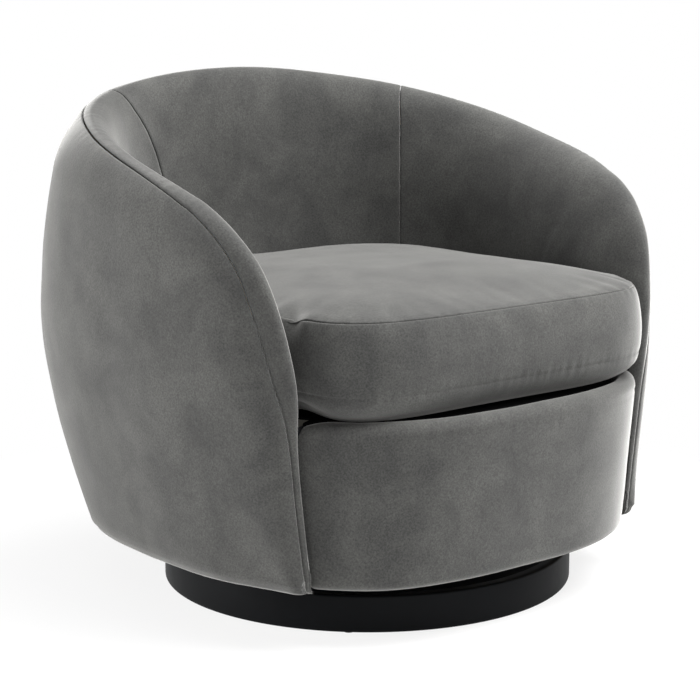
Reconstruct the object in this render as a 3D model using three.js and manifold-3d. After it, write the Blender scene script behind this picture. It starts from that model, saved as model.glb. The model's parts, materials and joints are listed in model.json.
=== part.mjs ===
// Swivel barrel chair: a velvet shell and loose seat cushion that turn on a round plinth.
// Millimetres, +Z up, the sitter faces -Y. The pieces are placed from the swivel axis, and at the
// end all are moved back to front so that the origin is on the floor under the middle of the chair.
import * as THREE from 'three';
import { mergeVertices } from 'three/addons/utils/BufferGeometryUtils.js';
import Module from 'manifold-3d';

const wasm = await Module();
wasm.setup();

// Driving dimensions of the plinth and the swivel
const plinthDiameter = 584;
const plinthHeight = 50;
const plinthWall = 16;
const plinthEdgeRadius = 3;
const plinthBoardThickness = 18;
const glideDiameter = 14;
const glideHeight = 3;
const glideCircleDiameter = 568;
const bearingOuterDiameter = 300;
const bearingInnerDiameter = 210;
const bearingPlateThickness = 3;
const ballDiameter = 6;
const ballCageThickness = 2.4;
const spacerDiameter = 400;
const ballCircleDiameter = 240;
const bearingScrewCircleDiameter = 276;

// Driving dimensions of the barrel shell, seen in plan about its own centre
const hemHeight = 76;
const widestHeight = 395;
const barrelHalfWidth = 414;
const barrelFrontShare = 0.9372;
const barrelFrontReach = barrelHalfWidth * barrelFrontShare;
const barrelBackReach = 384;
const barrelCentreY = 24;
const barrelCentreDraw = 18.4;
const barrelCentreDrawHeight = 230;
const footDraw = 69;
const cornerRoundStart = 300;
const cornerRoundEnd = 650;
const rimHeight = 708;
const innerWidthShare = 0.7343;
const innerFrontShare = 0.7732;
const backThickness = 98;
const topBackLean = 19;
const barrelTopBackReach = barrelBackReach - topBackLean;
const innerHalfWidth = barrelHalfWidth * innerWidthShare;
const innerFrontReach = barrelFrontReach * innerFrontShare;
const innerBackReach = barrelBackReach - backThickness;

// Driving dimensions of the roll along the rim: how far it draws in, and over what height
const noseOuterDraw = 12;
const noseOuterDepth = 27;
const topOuterDraw = 44;
const topOuterDepth = 75;
const noseInnerDepth = 75;
const topInnerDepth = 180;

// Driving dimensions of the front rail, the deck and the seat cushion
const railCentreY = -3.4;
const railFlare = 14;
const railFlareHeight = 200;
const railTopHeight = 286;
const railEdgeRadius = 16;
const deckHeight = 288;
const cushionCentreY = -2.6;
const cushionSideClearance = 2;
const cushionBackClearance = 9.6;
const cushionSetBack = 21;
const cushionBottomSeamHeight = 308;
const cushionTopSeamHeight = 424;
const cushionTopCrown = 44;
const cushionBottomCrown = 19.4;
const cushionSideBulge = 9;
const cushionHalfWidth = innerHalfWidth - cushionSideBulge - cushionSideClearance;
const cushionBackReach = innerBackReach + barrelCentreY - cushionCentreY - cushionSideBulge
  - cushionBackClearance;

// Thicknesses of the cover, boards, timber and wire
const coverThickness = 2.4;
const panelThickness = 4;
const boardThickness = 15;
const timberThickness = 22;
const postWidth = 44;
const railTimberHeight = 48;
const rimTimberThickness = 20;
const rimTimberHeight = 36;
const springWire = 4;
const springCount = 5;
const springWaveWidth = 44;
const deckPadThickness = 11;
const gap = 0.3;
const softGap = 0.6;
const holeOverrun = 1;

// Rounding of each outline in plan, as the exponent of a superellipse
const frontRoundShare = 2.36;
const backRoundShare = 3;
const topBackRoundShare = 2.36;
const innerFrontRoundShare = 6;
const innerBackRoundShare = 2.6;
const railRoundShare = 2.9;
const cushionFrontRoundShare = 4.6;
const cushionBackRoundShare = 2.7;
const footDrawShare = 1.46;

// The rim from the front of an arm, up over the arm and round to the middle of the back.
// Each row is the angle from straight ahead in degrees and the height as a share of rimHeight.
const rimShares = [
  [52.2, 0.107], [51.4, 0.226], [50.8, 0.381], [50.2, 0.48], [52.5, 0.593], [56.4, 0.678],
  [68, 0.787], [80, 0.826], [95, 0.866], [115, 0.923], [140, 0.974], [180, 1], [220, 0.974],
];

// How far the outer seam lies below the rim, on the outer side: each row is the share of the
// way from the hem to the middle of the back and the distance as a share of topOuterDepth.
const seamShares = [
  [0, 0.08], [0.17, 0.09], [0.25, 0.33], [0.36, 0.37], [0.42, 0.2], [0.5, 0.07], [0.62, 0.03],
  [0.72, 0.1], [0.84, 0.26], [1, 0.34],
];
const seamSplitAngle = 127;

const group = new THREE.Group();
group.name = 'cuddle_chair';

const finishes = {
  velvet: new THREE.MeshStandardMaterial({ color: 0x71716f, roughness: 0.85, metalness: 0 }),
  lining: new THREE.MeshStandardMaterial({ color: 0x1b1b1c, roughness: 0.9, metalness: 0 }),
  foam: new THREE.MeshStandardMaterial({ color: 0xd9d2bd, roughness: 0.95, metalness: 0 }),
  felt: new THREE.MeshStandardMaterial({ color: 0x8e8b84, roughness: 0.95, metalness: 0 }),
  timber: new THREE.MeshStandardMaterial({ color: 0xb98f5f, roughness: 0.7, metalness: 0 }),
  plywood: new THREE.MeshStandardMaterial({ color: 0xc6a576, roughness: 0.7, metalness: 0 }),
  hardboard: new THREE.MeshStandardMaterial({ color: 0x7a5a3c, roughness: 0.8, metalness: 0 }),
  black_lacquer: new THREE.MeshStandardMaterial({ color: 0x17181b, roughness: 0.45, metalness: 0 }),
  zinc_steel: new THREE.MeshStandardMaterial({ color: 0xa9abad, roughness: 0.4, metalness: 1 }),
  spring_steel: new THREE.MeshStandardMaterial({ color: 0x4b4c4e, roughness: 0.45, metalness: 1 }),
  nylon: new THREE.MeshStandardMaterial({ color: 0x2a2a2b, roughness: 0.6, metalness: 0 }),
};

function addPiece(name, geometry, finish, place = new THREE.Vector3()) {
  const mesh = new THREE.Mesh(geometry, finishes[finish]);
  mesh.name = name;
  mesh.position.copy(place);
  group.add(mesh);
  return mesh;
}

// Solid helpers

function solidOf(geometry) {
  const bare = geometry.clone();
  bare.deleteAttribute('normal');
  bare.deleteAttribute('uv');
  const merged = mergeVertices(bare);
  const vertProperties = new Float32Array(merged.attributes.position.array);
  const triVerts = new Uint32Array(merged.index.array);
  return new wasm.Manifold(new wasm.Mesh({ numProp: 3, vertProperties, triVerts }));
}

function geometryOf(solid) {
  const mesh = solid.getMesh();
  const geometry = new THREE.BufferGeometry();
  geometry.setAttribute('position', new THREE.BufferAttribute(mesh.vertProperties, 3));
  geometry.setIndex(new THREE.BufferAttribute(mesh.triVerts, 1));
  geometry.computeVertexNormals();
  return geometry;
}

function signedVolume(points, faces) {
  let total = 0;
  for (const [a, b, c] of faces) {
    total += points[a].dot(new THREE.Vector3().crossVectors(points[b], points[c])) / 6;
  }
  return total;
}

function geometryFrom(points, faces) {
  const outward = signedVolume(points, faces) > 0;
  const geometry = new THREE.BufferGeometry();
  const flat = points.flatMap((point) => [point.x, point.y, point.z]);
  geometry.setAttribute('position', new THREE.Float32BufferAttribute(flat, 3));
  geometry.setIndex(faces.flatMap(([a, b, c]) => (outward ? [a, b, c] : [a, c, b])));
  geometry.computeVertexNormals();
  return geometry;
}

// A solid through a row of closed loops with the same number of points. The two end loops are
// closed by joining the n-th point from one end of the loop to the n-th from the other.
function loft(loops) {
  const size = loops[0].length;
  const points = loops.flat();
  const faces = [];
  for (let i = 0; i + 1 < loops.length; i += 1) {
    for (let j = 0; j < size; j += 1) {
      const k = (j + 1) % size;
      const [a, b, c, d] = [i * size + j, i * size + k, (i + 1) * size + k, (i + 1) * size + j];
      const straight = points[a].distanceTo(points[c]) < points[b].distanceTo(points[d]);
      faces.push(...(straight ? [[a, b, c], [a, c, d]] : [[a, b, d], [b, c, d]]));
    }
  }
  for (const [start, flip] of [[0, false], [(loops.length - 1) * size, true]]) {
    for (let j = 0; j < size / 2 - 1; j += 1) {
      const [a, b, c, d] = [start + j, start + j + 1, start + size - 2 - j, start + size - 1 - j];
      const cap = b === c ? [[a, d, b]] : [[a, d, c], [a, c, b]];
      for (const face of cap) faces.push(flip ? [face[0], face[2], face[1]] : face);
    }
  }
  return geometryFrom(points, faces);
}

function shares(count, power = 1) {
  return Array.from({ length: count + 1 }, (_, i) => (i / count) ** power);
}

function lerp(a, b, share) {
  return a + (b - a) * share;
}

function interpolate(rows, at) {
  if (at <= rows[0][0]) return rows[0][1];
  for (let i = 1; i < rows.length; i += 1) {
    if (at <= rows[i][0]) {
      return lerp(rows[i - 1][1], rows[i][1], (at - rows[i - 1][0]) / (rows[i][0] - rows[i - 1][0]));
    }
  }
  return rows[rows.length - 1][1];
}

// Shape of the barrel, as a distance from its centre line at an angle and a height

function roundedReach(angle, halfWidth, frontReach, backReach, frontShare, backShare) {
  const across = Math.abs(Math.sin(angle)) / halfWidth;
  const ahead = Math.cos(angle);
  const along = Math.abs(ahead) / (ahead > 0 ? frontReach : backReach);
  const power = ahead > 0 ? frontShare : backShare;
  return (across ** power + along ** power) ** (-1 / power);
}

function centreY(height) {
  return barrelCentreY - barrelCentreDraw * ((height - widestHeight) / barrelCentreDrawHeight) ** 2;
}

function outerReach(angle, height) {
  const along = (height - cornerRoundStart) / (cornerRoundEnd - cornerRoundStart);
  const rise = THREE.MathUtils.clamp(along, 0, 1) ** 2;
  const back = lerp(barrelBackReach, barrelTopBackReach, rise);
  const backShare = lerp(backRoundShare, topBackRoundShare, rise);
  const draw = footDraw * (Math.max(widestHeight - height, 0) / widestHeight) ** footDrawShare;
  return roundedReach(angle, barrelHalfWidth, barrelFrontReach, back, frontRoundShare, backShare) - draw;
}

function innerReach(angle) {
  return roundedReach(
    angle,
    innerHalfWidth,
    innerFrontReach,
    innerBackReach,
    innerFrontRoundShare,
    innerBackRoundShare,
  );
}

function barrelPoint(angle, reach, height) {
  return new THREE.Vector3(reach * Math.sin(angle), centreY(height) - reach * Math.cos(angle), height);
}

// The barrel wall rolled out flat: girth along, height up
const girthPerRadian = (barrelHalfWidth + barrelBackReach) / 2;

function girthAt(degrees) {
  return degrees * THREE.MathUtils.DEG2RAD * girthPerRadian;
}

const rimCurve = new THREE.CatmullRomCurve3(
  rimShares.map(([degrees, share]) => new THREE.Vector3(girthAt(degrees), share * rimHeight, 0)),
);
const rimEnd = (rimShares.length - 2) / (rimShares.length - 1);
const rimSamples = 480;
const rimPath = shares(rimSamples).map((share) => rimCurve.getPoint(share * rimEnd));
const rimLengths = runningLengths(rimPath);

function runningLengths(points) {
  const lengths = [0];
  for (let i = 1; i < points.length; i += 1) {
    lengths.push(lengths[i - 1] + points[i].distanceTo(points[i - 1]));
  }
  return lengths;
}

function rimAt(share) {
  const target = share * rimLengths[rimSamples];
  let i = rimLengths.findIndex((length) => length >= target);
  i = THREE.MathUtils.clamp(i, 1, rimSamples);
  const span = rimLengths[i] - rimLengths[i - 1];
  const point = rimPath[i - 1].clone().lerp(rimPath[i], (target - rimLengths[i - 1]) / span);
  const before = rimPath[Math.max(i - 3, 0)];
  const after = rimPath[Math.min(i + 2, rimSamples)];
  const heading = after.clone().sub(before).normalize();
  return { point, heading };
}

// Past this share of the rim the lines of the wall run straight down to the hem
const straightGirth = girthAt(100);
const rimGirths = rimPath.map((point, i) => [point.x, rimLengths[i] / rimLengths[rimSamples]]);
const straightShare = rimGirths.find(([girth]) => girth >= straightGirth)[1];
const hemStartGirth = rimPath[0].x;
const lineSamples = 48;
const uprightStartShare = 0.35;
const uprightSpanShare = 0.6;
const handleShare = 0.39;

// A line of the wall: it leaves the rim square to it and reaches the hem straight down
function wallLine(share) {
  const { point, heading } = rimAt(share);
  const sloped = lerp(hemStartGirth, straightGirth, share / straightShare);
  const girth = share < straightShare ? sloped : point.x;
  const foot = new THREE.Vector3(girth, hemHeight, 0);
  const inward = new THREE.Vector3(heading.y, -heading.x, 0);
  const handle = foot.distanceTo(point) * handleShare;
  const line = new THREE.CubicBezierCurve3(
    point,
    point.clone().addScaledVector(inward, handle),
    new THREE.Vector3(foot.x, foot.y + handle, 0),
    foot,
  );
  const points = line.getPoints(lineSamples);
  const lengths = runningLengths(points);
  const upright = THREE.MathUtils.clamp((heading.y - uprightStartShare) / uprightSpanShare, 0, 1);
  return { share, points, lengths, upright, total: lengths[lineSamples] };
}

function lineAt(line, distance) {
  const target = THREE.MathUtils.clamp(distance, 0, line.total);
  const i = Math.max(line.lengths.findIndex((length) => length >= target), 1);
  const span = line.lengths[i] - line.lengths[i - 1];
  return line.points[i - 1].clone().lerp(line.points[i], (target - line.lengths[i - 1]) / span);
}

// Distance down a line at which it passes a height
function distanceAtHeight(line, height) {
  const i = line.points.findIndex((point) => point.y <= height);
  if (i <= 0) return i === 0 ? 0 : line.total;
  const drop = line.points[i - 1].y - line.points[i].y;
  return lerp(line.lengths[i - 1], line.lengths[i], (line.points[i - 1].y - height) / drop);
}

// A point of the rolled wall, a distance below its own rim and an inset inside its surface
function rolledPoint(line, distance, inset, inside, side) {
  const { x: girth, y: height } = lineAt(line, distance + inset);
  const angle = girth / girthPerRadian;
  const reach = outerReach(angle, height);
  const draw = lerp(topOuterDraw, noseOuterDraw, line.upright);
  const crest = reach - draw;
  if (inside) {
    const depth = lerp(topInnerDepth, noseInnerDepth, line.upright);
    const left = THREE.MathUtils.clamp((depth - distance) / depth, 0, 1);
    const radius = crest - (crest - innerReach(angle) - inset) * Math.sqrt(1 - left * left);
    return barrelPoint(side * angle, radius, height);
  }
  const depth = lerp(topOuterDepth, noseOuterDepth, line.upright);
  const left = THREE.MathUtils.clamp((depth - distance) / depth, 0, 1);
  const drawn = (draw - inset) * (1 - Math.sqrt(1 - left * left));
  return barrelPoint(side * angle, reach - inset - drawn, height);
}

// Lines are spaced along the rim by its length and by how much it bends
const bendLength = 150;
const rimWeights = rimPath.map(() => 0);
for (let i = 1; i <= rimSamples; i += 1) {
  const ahead = rimPath[Math.min(i + 1, rimSamples)].clone().sub(rimPath[i]);
  const here = rimPath[i].clone().sub(rimPath[i - 1]);
  const bend = i < rimSamples ? ahead.angleTo(here) : 0;
  rimWeights[i] = rimWeights[i - 1] + here.length() + bend * bendLength;
}

function columnShares(from, to, count) {
  const weightRows = rimLengths.map((length, i) => [length / rimLengths[rimSamples], rimWeights[i]]);
  const shareRows = weightRows.map(([share, weight]) => [weight, share]);
  const start = interpolate(weightRows, from);
  const end = interpolate(weightRows, to);
  return shares(count).map((share) => interpolate(shareRows, lerp(start, end, share)));
}

// Shares of the rim at which a line starts at a height or an angle
const rimHeightsByShare = rimPath.map((point, i) => [point.y, rimLengths[i] / rimLengths[rimSamples]]);

function shareAtHeight(height) {
  return rimHeightsByShare.find(([y]) => y >= height)[1];
}

function shareAtAngle(degrees) {
  return rimGirths.find(([girth]) => girth >= girthAt(degrees))[1];
}

function seamDistance(line) {
  return interpolate(seamShares, line.share) * topOuterDepth;
}

// The hem is turned under the bottom board round this radius and by this depth
const hemRadius = 14;
const hemTurnDepth = 34;
const noseFootRise = 7;
const boardBottom = hemHeight + coverThickness + gap;
const boardTop = boardBottom + boardThickness;
const cornerStart = shareAtHeight(hemHeight + hemRadius + noseFootRise);
const splitShare = shareAtAngle(seamSplitAngle);
const splitClearance = softGap / rimLengths[rimSamples];

const armColumns = 15;
const backColumns = 7;

const armHalf = columnShares(cornerStart, splitShare - splitClearance, armColumns).map(wallLine);
const backHalf = columnShares(splitShare + splitClearance, 1, backColumns).map(wallLine);

function onSide(lines, side) {
  return lines.map((line) => ({ ...line, side }));
}

// Every row of lines runs the same way, from the left arm round the back to the right arm
function armLines(side) {
  const lines = onSide(armHalf, side);
  return side < 0 ? lines : lines.reverse();
}

function backLines() {
  return [...onSide(backHalf, -1), ...onSide(backHalf.slice(0, -1).reverse(), 1)];
}

function wallPointOf(line, distance, inset, inside) {
  return rolledPoint(line, distance, inset, inside, line.side);
}

// Rows of a line: the roll is stepped by its angle, the wall below it by its length
const hemRows = 3;
const bodyRows = 4;
const rollRows = 4;
const seamRows = 2;
const insideRollRows = 5;
const insideBodyRows = 3;
const seamHalfGap = softGap / 2;
const noseTuck = 46;
const rollShortShare = 0.7;

function outerDepth(line) {
  return lerp(topOuterDepth, noseOuterDepth, line.upright);
}

function innerDepth(line) {
  return lerp(topInnerDepth, noseInnerDepth, line.upright);
}

// Distances down a roll of a depth, from one distance to another, by equal steps of its angle
function rollSteps(depth, from, to, count) {
  const turn = (distance) => Math.acos(1 - distance / depth);
  return shares(count).map((share) => depth * (1 - Math.cos(lerp(turn(from), turn(to), share))));
}

// Distances where the outer roll ends, where the foam ends and where the hem starts to turn
function outerLevels(line) {
  const low = line.total - hemRadius;
  const rollEnd = Math.min(outerDepth(line), low * rollShortShare);
  const middle = THREE.MathUtils.clamp(insideEnd(line, 0), lerp(rollEnd, low, 1 - rollShortShare), low);
  return { low, middle, rollEnd };
}

function outerRoll(line, from, to, count) {
  return rollSteps(outerDepth(line), from, to, count).reverse();
}

function outerBody(line, inset) {
  const { middle, rollEnd } = outerLevels(line);
  return shares(bodyRows).map((share) => lerp(middle - inset, rollEnd, share));
}

function outerSkirt(line, inset) {
  const { low, middle } = outerLevels(line);
  return shares(hemRows).slice(0, -1).map((share) => lerp(low, middle, share) - inset);
}

function insideEnd(line, inset) {
  const deck = distanceAtHeight(line, deckHeight + softGap) - inset;
  const board = distanceAtHeight(line, boardTop + gap) - inset;
  return Math.min(Math.max(deck, noseTuck), board);
}

function innerSteps(line, inset) {
  const end = insideEnd(line, inset);
  const depth = innerDepth(line);
  const rollEnd = Math.min(depth, end * rollShortShare);
  const body = shares(insideBodyRows).slice(1).map((share) => lerp(rollEnd, end, share));
  return [...rollSteps(depth, 0, rollEnd, insideRollRows), ...body];
}

// Outside cover: one skin from under the board, up the barrel and over to the outer seam

function hemLayer(line, inset) {
  const angle = (line.points[lineSamples].x / girthPerRadian) * line.side;
  const reach = outerReach(angle, hemHeight) - hemRadius;
  const radius = hemRadius - inset;
  const turn = Math.PI / 4;
  return [
    barrelPoint(angle, reach + hemRadius - hemTurnDepth, hemHeight + inset),
    barrelPoint(angle, reach, hemHeight + inset),
    barrelPoint(angle, reach + radius * Math.sin(turn), hemHeight + hemRadius - radius * Math.cos(turn)),
  ];
}

function outsideLayer(line, inset) {
  const seam = seamDistance(line) + seamHalfGap;
  const steps = [
    ...outerSkirt(line, inset),
    ...outerBody(line, inset),
    ...outerRoll(line, seam, outerLevels(line).rollEnd, rollRows).slice(1),
  ];
  return steps.map((distance) => wallPointOf(line, distance, inset, false));
}

function outsideCover() {
  const lines = [...armLines(-1), ...backLines(), ...armLines(1)];
  return loft(lines.map((line) => [
    ...hemLayer(line, 0),
    ...outsideLayer(line, 0),
    ...outsideLayer(line, coverThickness).reverse(),
    ...hemLayer(line, coverThickness).reverse(),
  ]));
}

// Inside covers and the foam under them: over the roll and down to the deck

function insideLayer(line, inset) {
  const seam = seamDistance(line) - seamHalfGap;
  const outer = outerRoll(line, 0, seam, seamRows)
    .map((distance) => wallPointOf(line, distance, inset, false));
  const inner = innerSteps(line, inset).slice(1)
    .map((distance) => wallPointOf(line, distance, inset, true));
  return [...outer, ...inner];
}

function insideCover(lines) {
  return loft(lines
    .map((line) => [...insideLayer(line, 0), ...insideLayer(line, coverThickness).reverse()]));
}

const foamInset = coverThickness + softGap;

function foamLoop(line, inset) {
  const seam = seamDistance(line);
  const outer = [
    ...outerBody(line, inset),
    ...outerRoll(line, seam, outerLevels(line).rollEnd, rollRows).slice(1),
    ...outerRoll(line, 0, seam, seamRows).slice(1),
  ].map((distance) => wallPointOf(line, distance, inset, false));
  const inner = innerSteps(line, inset).slice(1)
    .map((distance) => wallPointOf(line, distance, inset, true));
  return [...outer, ...inner];
}

function foamBlock(lines, cuts) {
  let solid = solidOf(loft(lines.map((line) => foamLoop(line, foamInset))));
  for (const cut of cuts) solid = solid.subtract(cut);
  return solid;
}

// Bent timber that follows the rim inside the roll, from one front post to the other

const rimTimberStartShare = 0.633;
const rimTimberDepth = 25;
const rimTimberNoseInset = 12;
const rimTimberTopInset = 27;
const rimTimberColumns = 16;

function rimTimber(grow = 0) {
  const start = shareAtHeight(rimTimberStartShare * rimHeight) - grow / rimLengths[rimSamples];
  const left = shares(rimTimberColumns).map((share) => ({ ...wallLine(lerp(start, 1, share)), side: -1 }));
  const right = left.slice(0, -1).reverse().map((line) => ({ ...line, side: 1 }));
  return loft([...left, ...right].map((line) => {
    const inset = lerp(rimTimberTopInset, rimTimberNoseInset, line.upright) - grow;
    const depth = rimTimberDepth - grow;
    const insets = [inset, inset + rimTimberThickness + grow * 2];
    const depths = [depth, depth + rimTimberHeight + grow * 2];
    return [[0, 0], [1, 0], [1, 1], [0, 1]].map(([i, j]) => {
      const { x: girth, y: height } = lineAt(line, depths[i]);
      const angle = girth / girthPerRadian;
      return barrelPoint(line.side * angle, outerReach(angle, height) - insets[j], height);
    });
  }));
}

// Timber posts: each leans from the board up to the underside of the rim timber

const postBottomInset = 30;
const frontHeadInset = 32;
const headInset = 37;
const headClearance = 7;
// Each row is the name, the angles of the foot and of the head in degrees and how far the head
// lies inside the wall.
const postPlaces = [
  ['front_post', 66, 68, frontHeadInset],
  ['side_post', 90, 90, headInset],
  ['back_post', 138, 141, headInset],
];

const timberUnderside = shares(rimTimberColumns * 2).map(wallLine)
  .map((line) => lineAt(line, rimTimberDepth + rimTimberHeight))
  .map(({ x: girth, y: height }) => [girth, height]);

// Height at which a post stops below the rim timber, over the whole width of the post
function headHeight(degrees) {
  const edges = [-1, 1].map((side) => girthAt(degrees) + (side * postWidth) / 2);
  return Math.min(...edges.map((girth) => interpolate(timberUnderside, girth))) - headClearance;
}

function postCorners(degrees, height, inset, side, grow) {
  const angle = degrees * THREE.MathUtils.DEG2RAD * side;
  const centre = barrelPoint(angle, outerReach(angle, height) - inset, height);
  const radial = new THREE.Vector3(Math.sin(angle), -Math.cos(angle), 0);
  const tangent = new THREE.Vector3(Math.cos(angle), Math.sin(angle), 0);
  const halfWidth = postWidth / 2 + grow;
  const halfDepth = timberThickness / 2 + grow;
  return [[-1, -1], [1, -1], [1, 1], [-1, 1]].map(([u, v]) => centre.clone()
    .addScaledVector(tangent, u * halfWidth)
    .addScaledVector(radial, v * halfDepth));
}

// The cut for a post is wider by a clearance and opens into the cut for the rim timber
function post([, foot, head, inset], side, grow = 0) {
  const bottom = postCorners(foot, boardTop + gap, postBottomInset, side, grow);
  const top = postCorners(head, headHeight(head), inset, side, grow);
  const opening = top.map((point) => point.clone().setZ(point.z + rimTimberHeight / 2));
  return loft(grow > 0 ? [bottom, top, opening] : [bottom, top]);
}

// Hardboard panels of the lower barrel, between the board and the deck

const panelInset = coverThickness + softGap * 1.5;
const panelRows = 3;
const panelBottom = boardTop + gap;
const panelTop = deckHeight - softGap;

function lowerPanel(lines) {
  return loft(lines.map((line) => {
    const layer = (inset) => shares(panelRows)
      .map((rise) => lineAt(line, distanceAtHeight(line, lerp(panelBottom, panelTop, rise))))
      .map(({ x: girth, y: height }) => {
        const angle = girth / girthPerRadian;
        return barrelPoint(line.side * angle, outerReach(angle, height) - inset, height);
      });
    return [...layer(panelInset), ...layer(panelInset + panelThickness).reverse()];
  }));
}

// Front rail: curved in plan, from the tip of one arm nose to the tip of the other

const railWidthShare = 1.143;
const railReachShare = 1.385;
const railEndClearance = 9;
const noseAngle = rimShares[1][0] * THREE.MathUtils.DEG2RAD;

function noseTip(height) {
  return barrelPoint(noseAngle, outerReach(noseAngle, height) - noseOuterDraw, height);
}

const railHalfWidth = noseTip(hemHeight).x * railWidthShare;
const railReach = (railCentreY - noseTip(hemHeight).y) * railReachShare;

function railSurface(x, height) {
  const flare = (railFlare * (height - hemHeight)) / railFlareHeight;
  const across = Math.abs(x) / (railHalfWidth + flare);
  const y = railCentreY - (railReach + flare) * (1 - across ** railRoundShare) ** (1 / railRoundShare);
  return new THREE.Vector3(x, y, height);
}

// A point of the rail's face at a place along it, moved in by an inset square to the face
function railFace(x, inset, height) {
  const point = railSurface(x, height);
  const along = railSurface(x + gap, height).sub(railSurface(x - gap, height)).normalize();
  return point.add(new THREE.Vector3(-along.y, along.x, 0).multiplyScalar(inset));
}

const halvings = 30;

// Where the rail's face, moved in by an inset, passes a place across
function railFaceY(x, inset, height) {
  let near = 0;
  let far = Math.min(Math.abs(x) + inset * 2, railHalfWidth - inset);
  for (let i = 0; i < halvings; i += 1) {
    const half = (near + far) / 2;
    if (railFace(half, inset, height).x < Math.abs(x)) near = half;
    else far = half;
  }
  return railFace(near, inset, height).y;
}

// A point with a place across of its own, on the rail's foot line moved in by an inset
function railAcross(x, inset, height) {
  return new THREE.Vector3(x, railFaceY(x, inset, hemHeight), height);
}

function railEnd(height) {
  return noseTip(height).x - railEndClearance;
}

function railPoint(share, inset, height) {
  return railFace(share * railEnd(height), inset, height);
}

const railColumns = 16;
const railRows = 4;
const railEdgeRows = 3;
const railTopDepth = 26;

function railLayer(share, inset) {
  const radius = railEdgeRadius - inset;
  const edgeBottom = railTopHeight - railEdgeRadius;
  const hemEdge = hemHeight + hemRadius;
  const turn = Math.PI / 4;
  const face = shares(railRows).map((rise) => railPoint(share, inset, lerp(hemEdge, edgeBottom, rise)));
  const edge = shares(railEdgeRows).slice(1).map((part) => {
    const angle = (part * Math.PI) / 2;
    return railPoint(share, railEdgeRadius - radius * Math.cos(angle), edgeBottom)
      .setZ(edgeBottom + radius * Math.sin(angle));
  });
  return [
    railPoint(share, hemTurnDepth, hemHeight).setZ(hemHeight + inset),
    railPoint(share, hemRadius, hemHeight).setZ(hemHeight + inset),
    railPoint(share, hemRadius - (hemRadius - inset) * Math.sin(turn), hemHeight)
      .setZ(hemEdge - (hemRadius - inset) * Math.cos(turn)),
    ...face,
    ...edge,
    railPoint(share, railTopDepth, edgeBottom).setZ(railTopHeight - inset),
  ];
}

function railShares() {
  return shares(railColumns).map((share) => lerp(-1, 1, share));
}

function railCover() {
  return loft(railShares()
    .map((share) => [...railLayer(share, 0), ...railLayer(share, coverThickness).reverse()]));
}

const railFoamThickness = 13;
const seatRailTop = 262;

function railFoam() {
  const backInset = foamInset + railFoamThickness;
  const radius = railEdgeRadius - foamInset;
  const edgeBottom = railTopHeight - railEdgeRadius;
  const top = railTopHeight - foamInset;
  const heights = shares(railRows).map((rise) => lerp(boardTop + gap, edgeBottom, rise));
  return loft(railShares().map((share) => {
    const edge = shares(railEdgeRows).slice(1, -1).map((part) => {
      const angle = (part * Math.PI) / 2;
      return railPoint(share, railEdgeRadius - radius * Math.cos(angle), edgeBottom)
        .setZ(edgeBottom + radius * Math.sin(angle));
    });
    return [
      ...heights.map((height) => railPoint(share, foamInset, height)),
      ...edge,
      railPoint(share, railEdgeRadius, edgeBottom).setZ(top),
      railPoint(share, backInset, edgeBottom).setZ(top),
      railPoint(share, backInset, edgeBottom).setZ((top + edgeBottom) / 2),
      ...heights.map((height) => railPoint(share, backInset, height)).reverse(),
    ];
  }));
}

// A board curved like the front rail, between two insets, two heights and two ends
function railBand(insets, heights, halfLength, columns) {
  return loft(shares(columns).map((share) => lerp(-halfLength, halfLength, share)).map((x) => [
    [insets[0], heights[0]], [insets[1], heights[0]], [insets[1], heights[1]], [insets[0], heights[1]],
  ].map(([inset, height]) => railAcross(x, inset, height))));
}

// Flat outlines in plan, cut from sheet and extruded upward

function outlineShape(points) {
  const shape = new THREE.Shape();
  shape.setFromPoints(points.map((point) => new THREE.Vector2(point.x, point.y)));
  return shape;
}

function slab(shape, thickness) {
  return new THREE.ExtrudeGeometry(shape, { depth: thickness, bevelEnabled: false });
}

function drumOutline(inset, wallReach, fromDegrees, height, railInset, railHalf) {
  const wall = shares(outlineSteps).map((share) => lerp(fromDegrees, 360 - fromDegrees, share))
    .map((degrees) => degrees * THREE.MathUtils.DEG2RAD)
    .map((angle) => barrelPoint(angle, wallReach(angle, height) - inset, height));
  const front = shares(outlineFrontSteps).map((share) => lerp(-railHalf, railHalf, share))
    .map((x) => railAcross(x, railInset, height));
  return [...wall, ...front];
}

// Plinth: a black ring with a board let into its top, on nylon glides

const roundSegments = 48;
const outlineSteps = 34;
const outlineFrontSteps = 12;
const screwHeadDiameter = 9;
const screwHeadHeight = 2.2;
const screwShankDiameter = 4.6;
const lowerScrewLength = 14;
const upperScrewLength = 30;
const screwSegments = 8;
const screwCount = 4;

function latheSolid(profile, segments) {
  const points = profile.map(([radius, height]) => new THREE.Vector2(radius, height));
  const lathe = new THREE.LatheGeometry(points, segments);
  return lathe.rotateX(Math.PI / 2);
}

function plinthRing() {
  const outer = plinthDiameter / 2;
  const inner = outer - plinthWall;
  const bottom = glideHeight + gap;
  const top = plinthHeight;
  const turn = plinthEdgeRadius * (1 - Math.SQRT1_2);
  const profile = [
    [inner, bottom], [outer - plinthEdgeRadius, bottom], [outer, bottom + plinthEdgeRadius],
    [outer, top - plinthEdgeRadius], [outer - turn, top - turn], [outer - plinthEdgeRadius, top],
    [inner, top], [inner, bottom],
  ];
  return latheSolid(profile, roundSegments);
}

function circlePoints(radius, x, y, count) {
  return shares(count).slice(0, -1).map((share) => share * Math.PI * 2)
    .map((angle) => new THREE.Vector2(x + radius * Math.cos(angle), y + radius * Math.sin(angle)));
}

function circleHole(radius, x, y, count) {
  return new THREE.Path().setFromPoints(circlePoints(radius, x, y, count).reverse());
}

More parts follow.
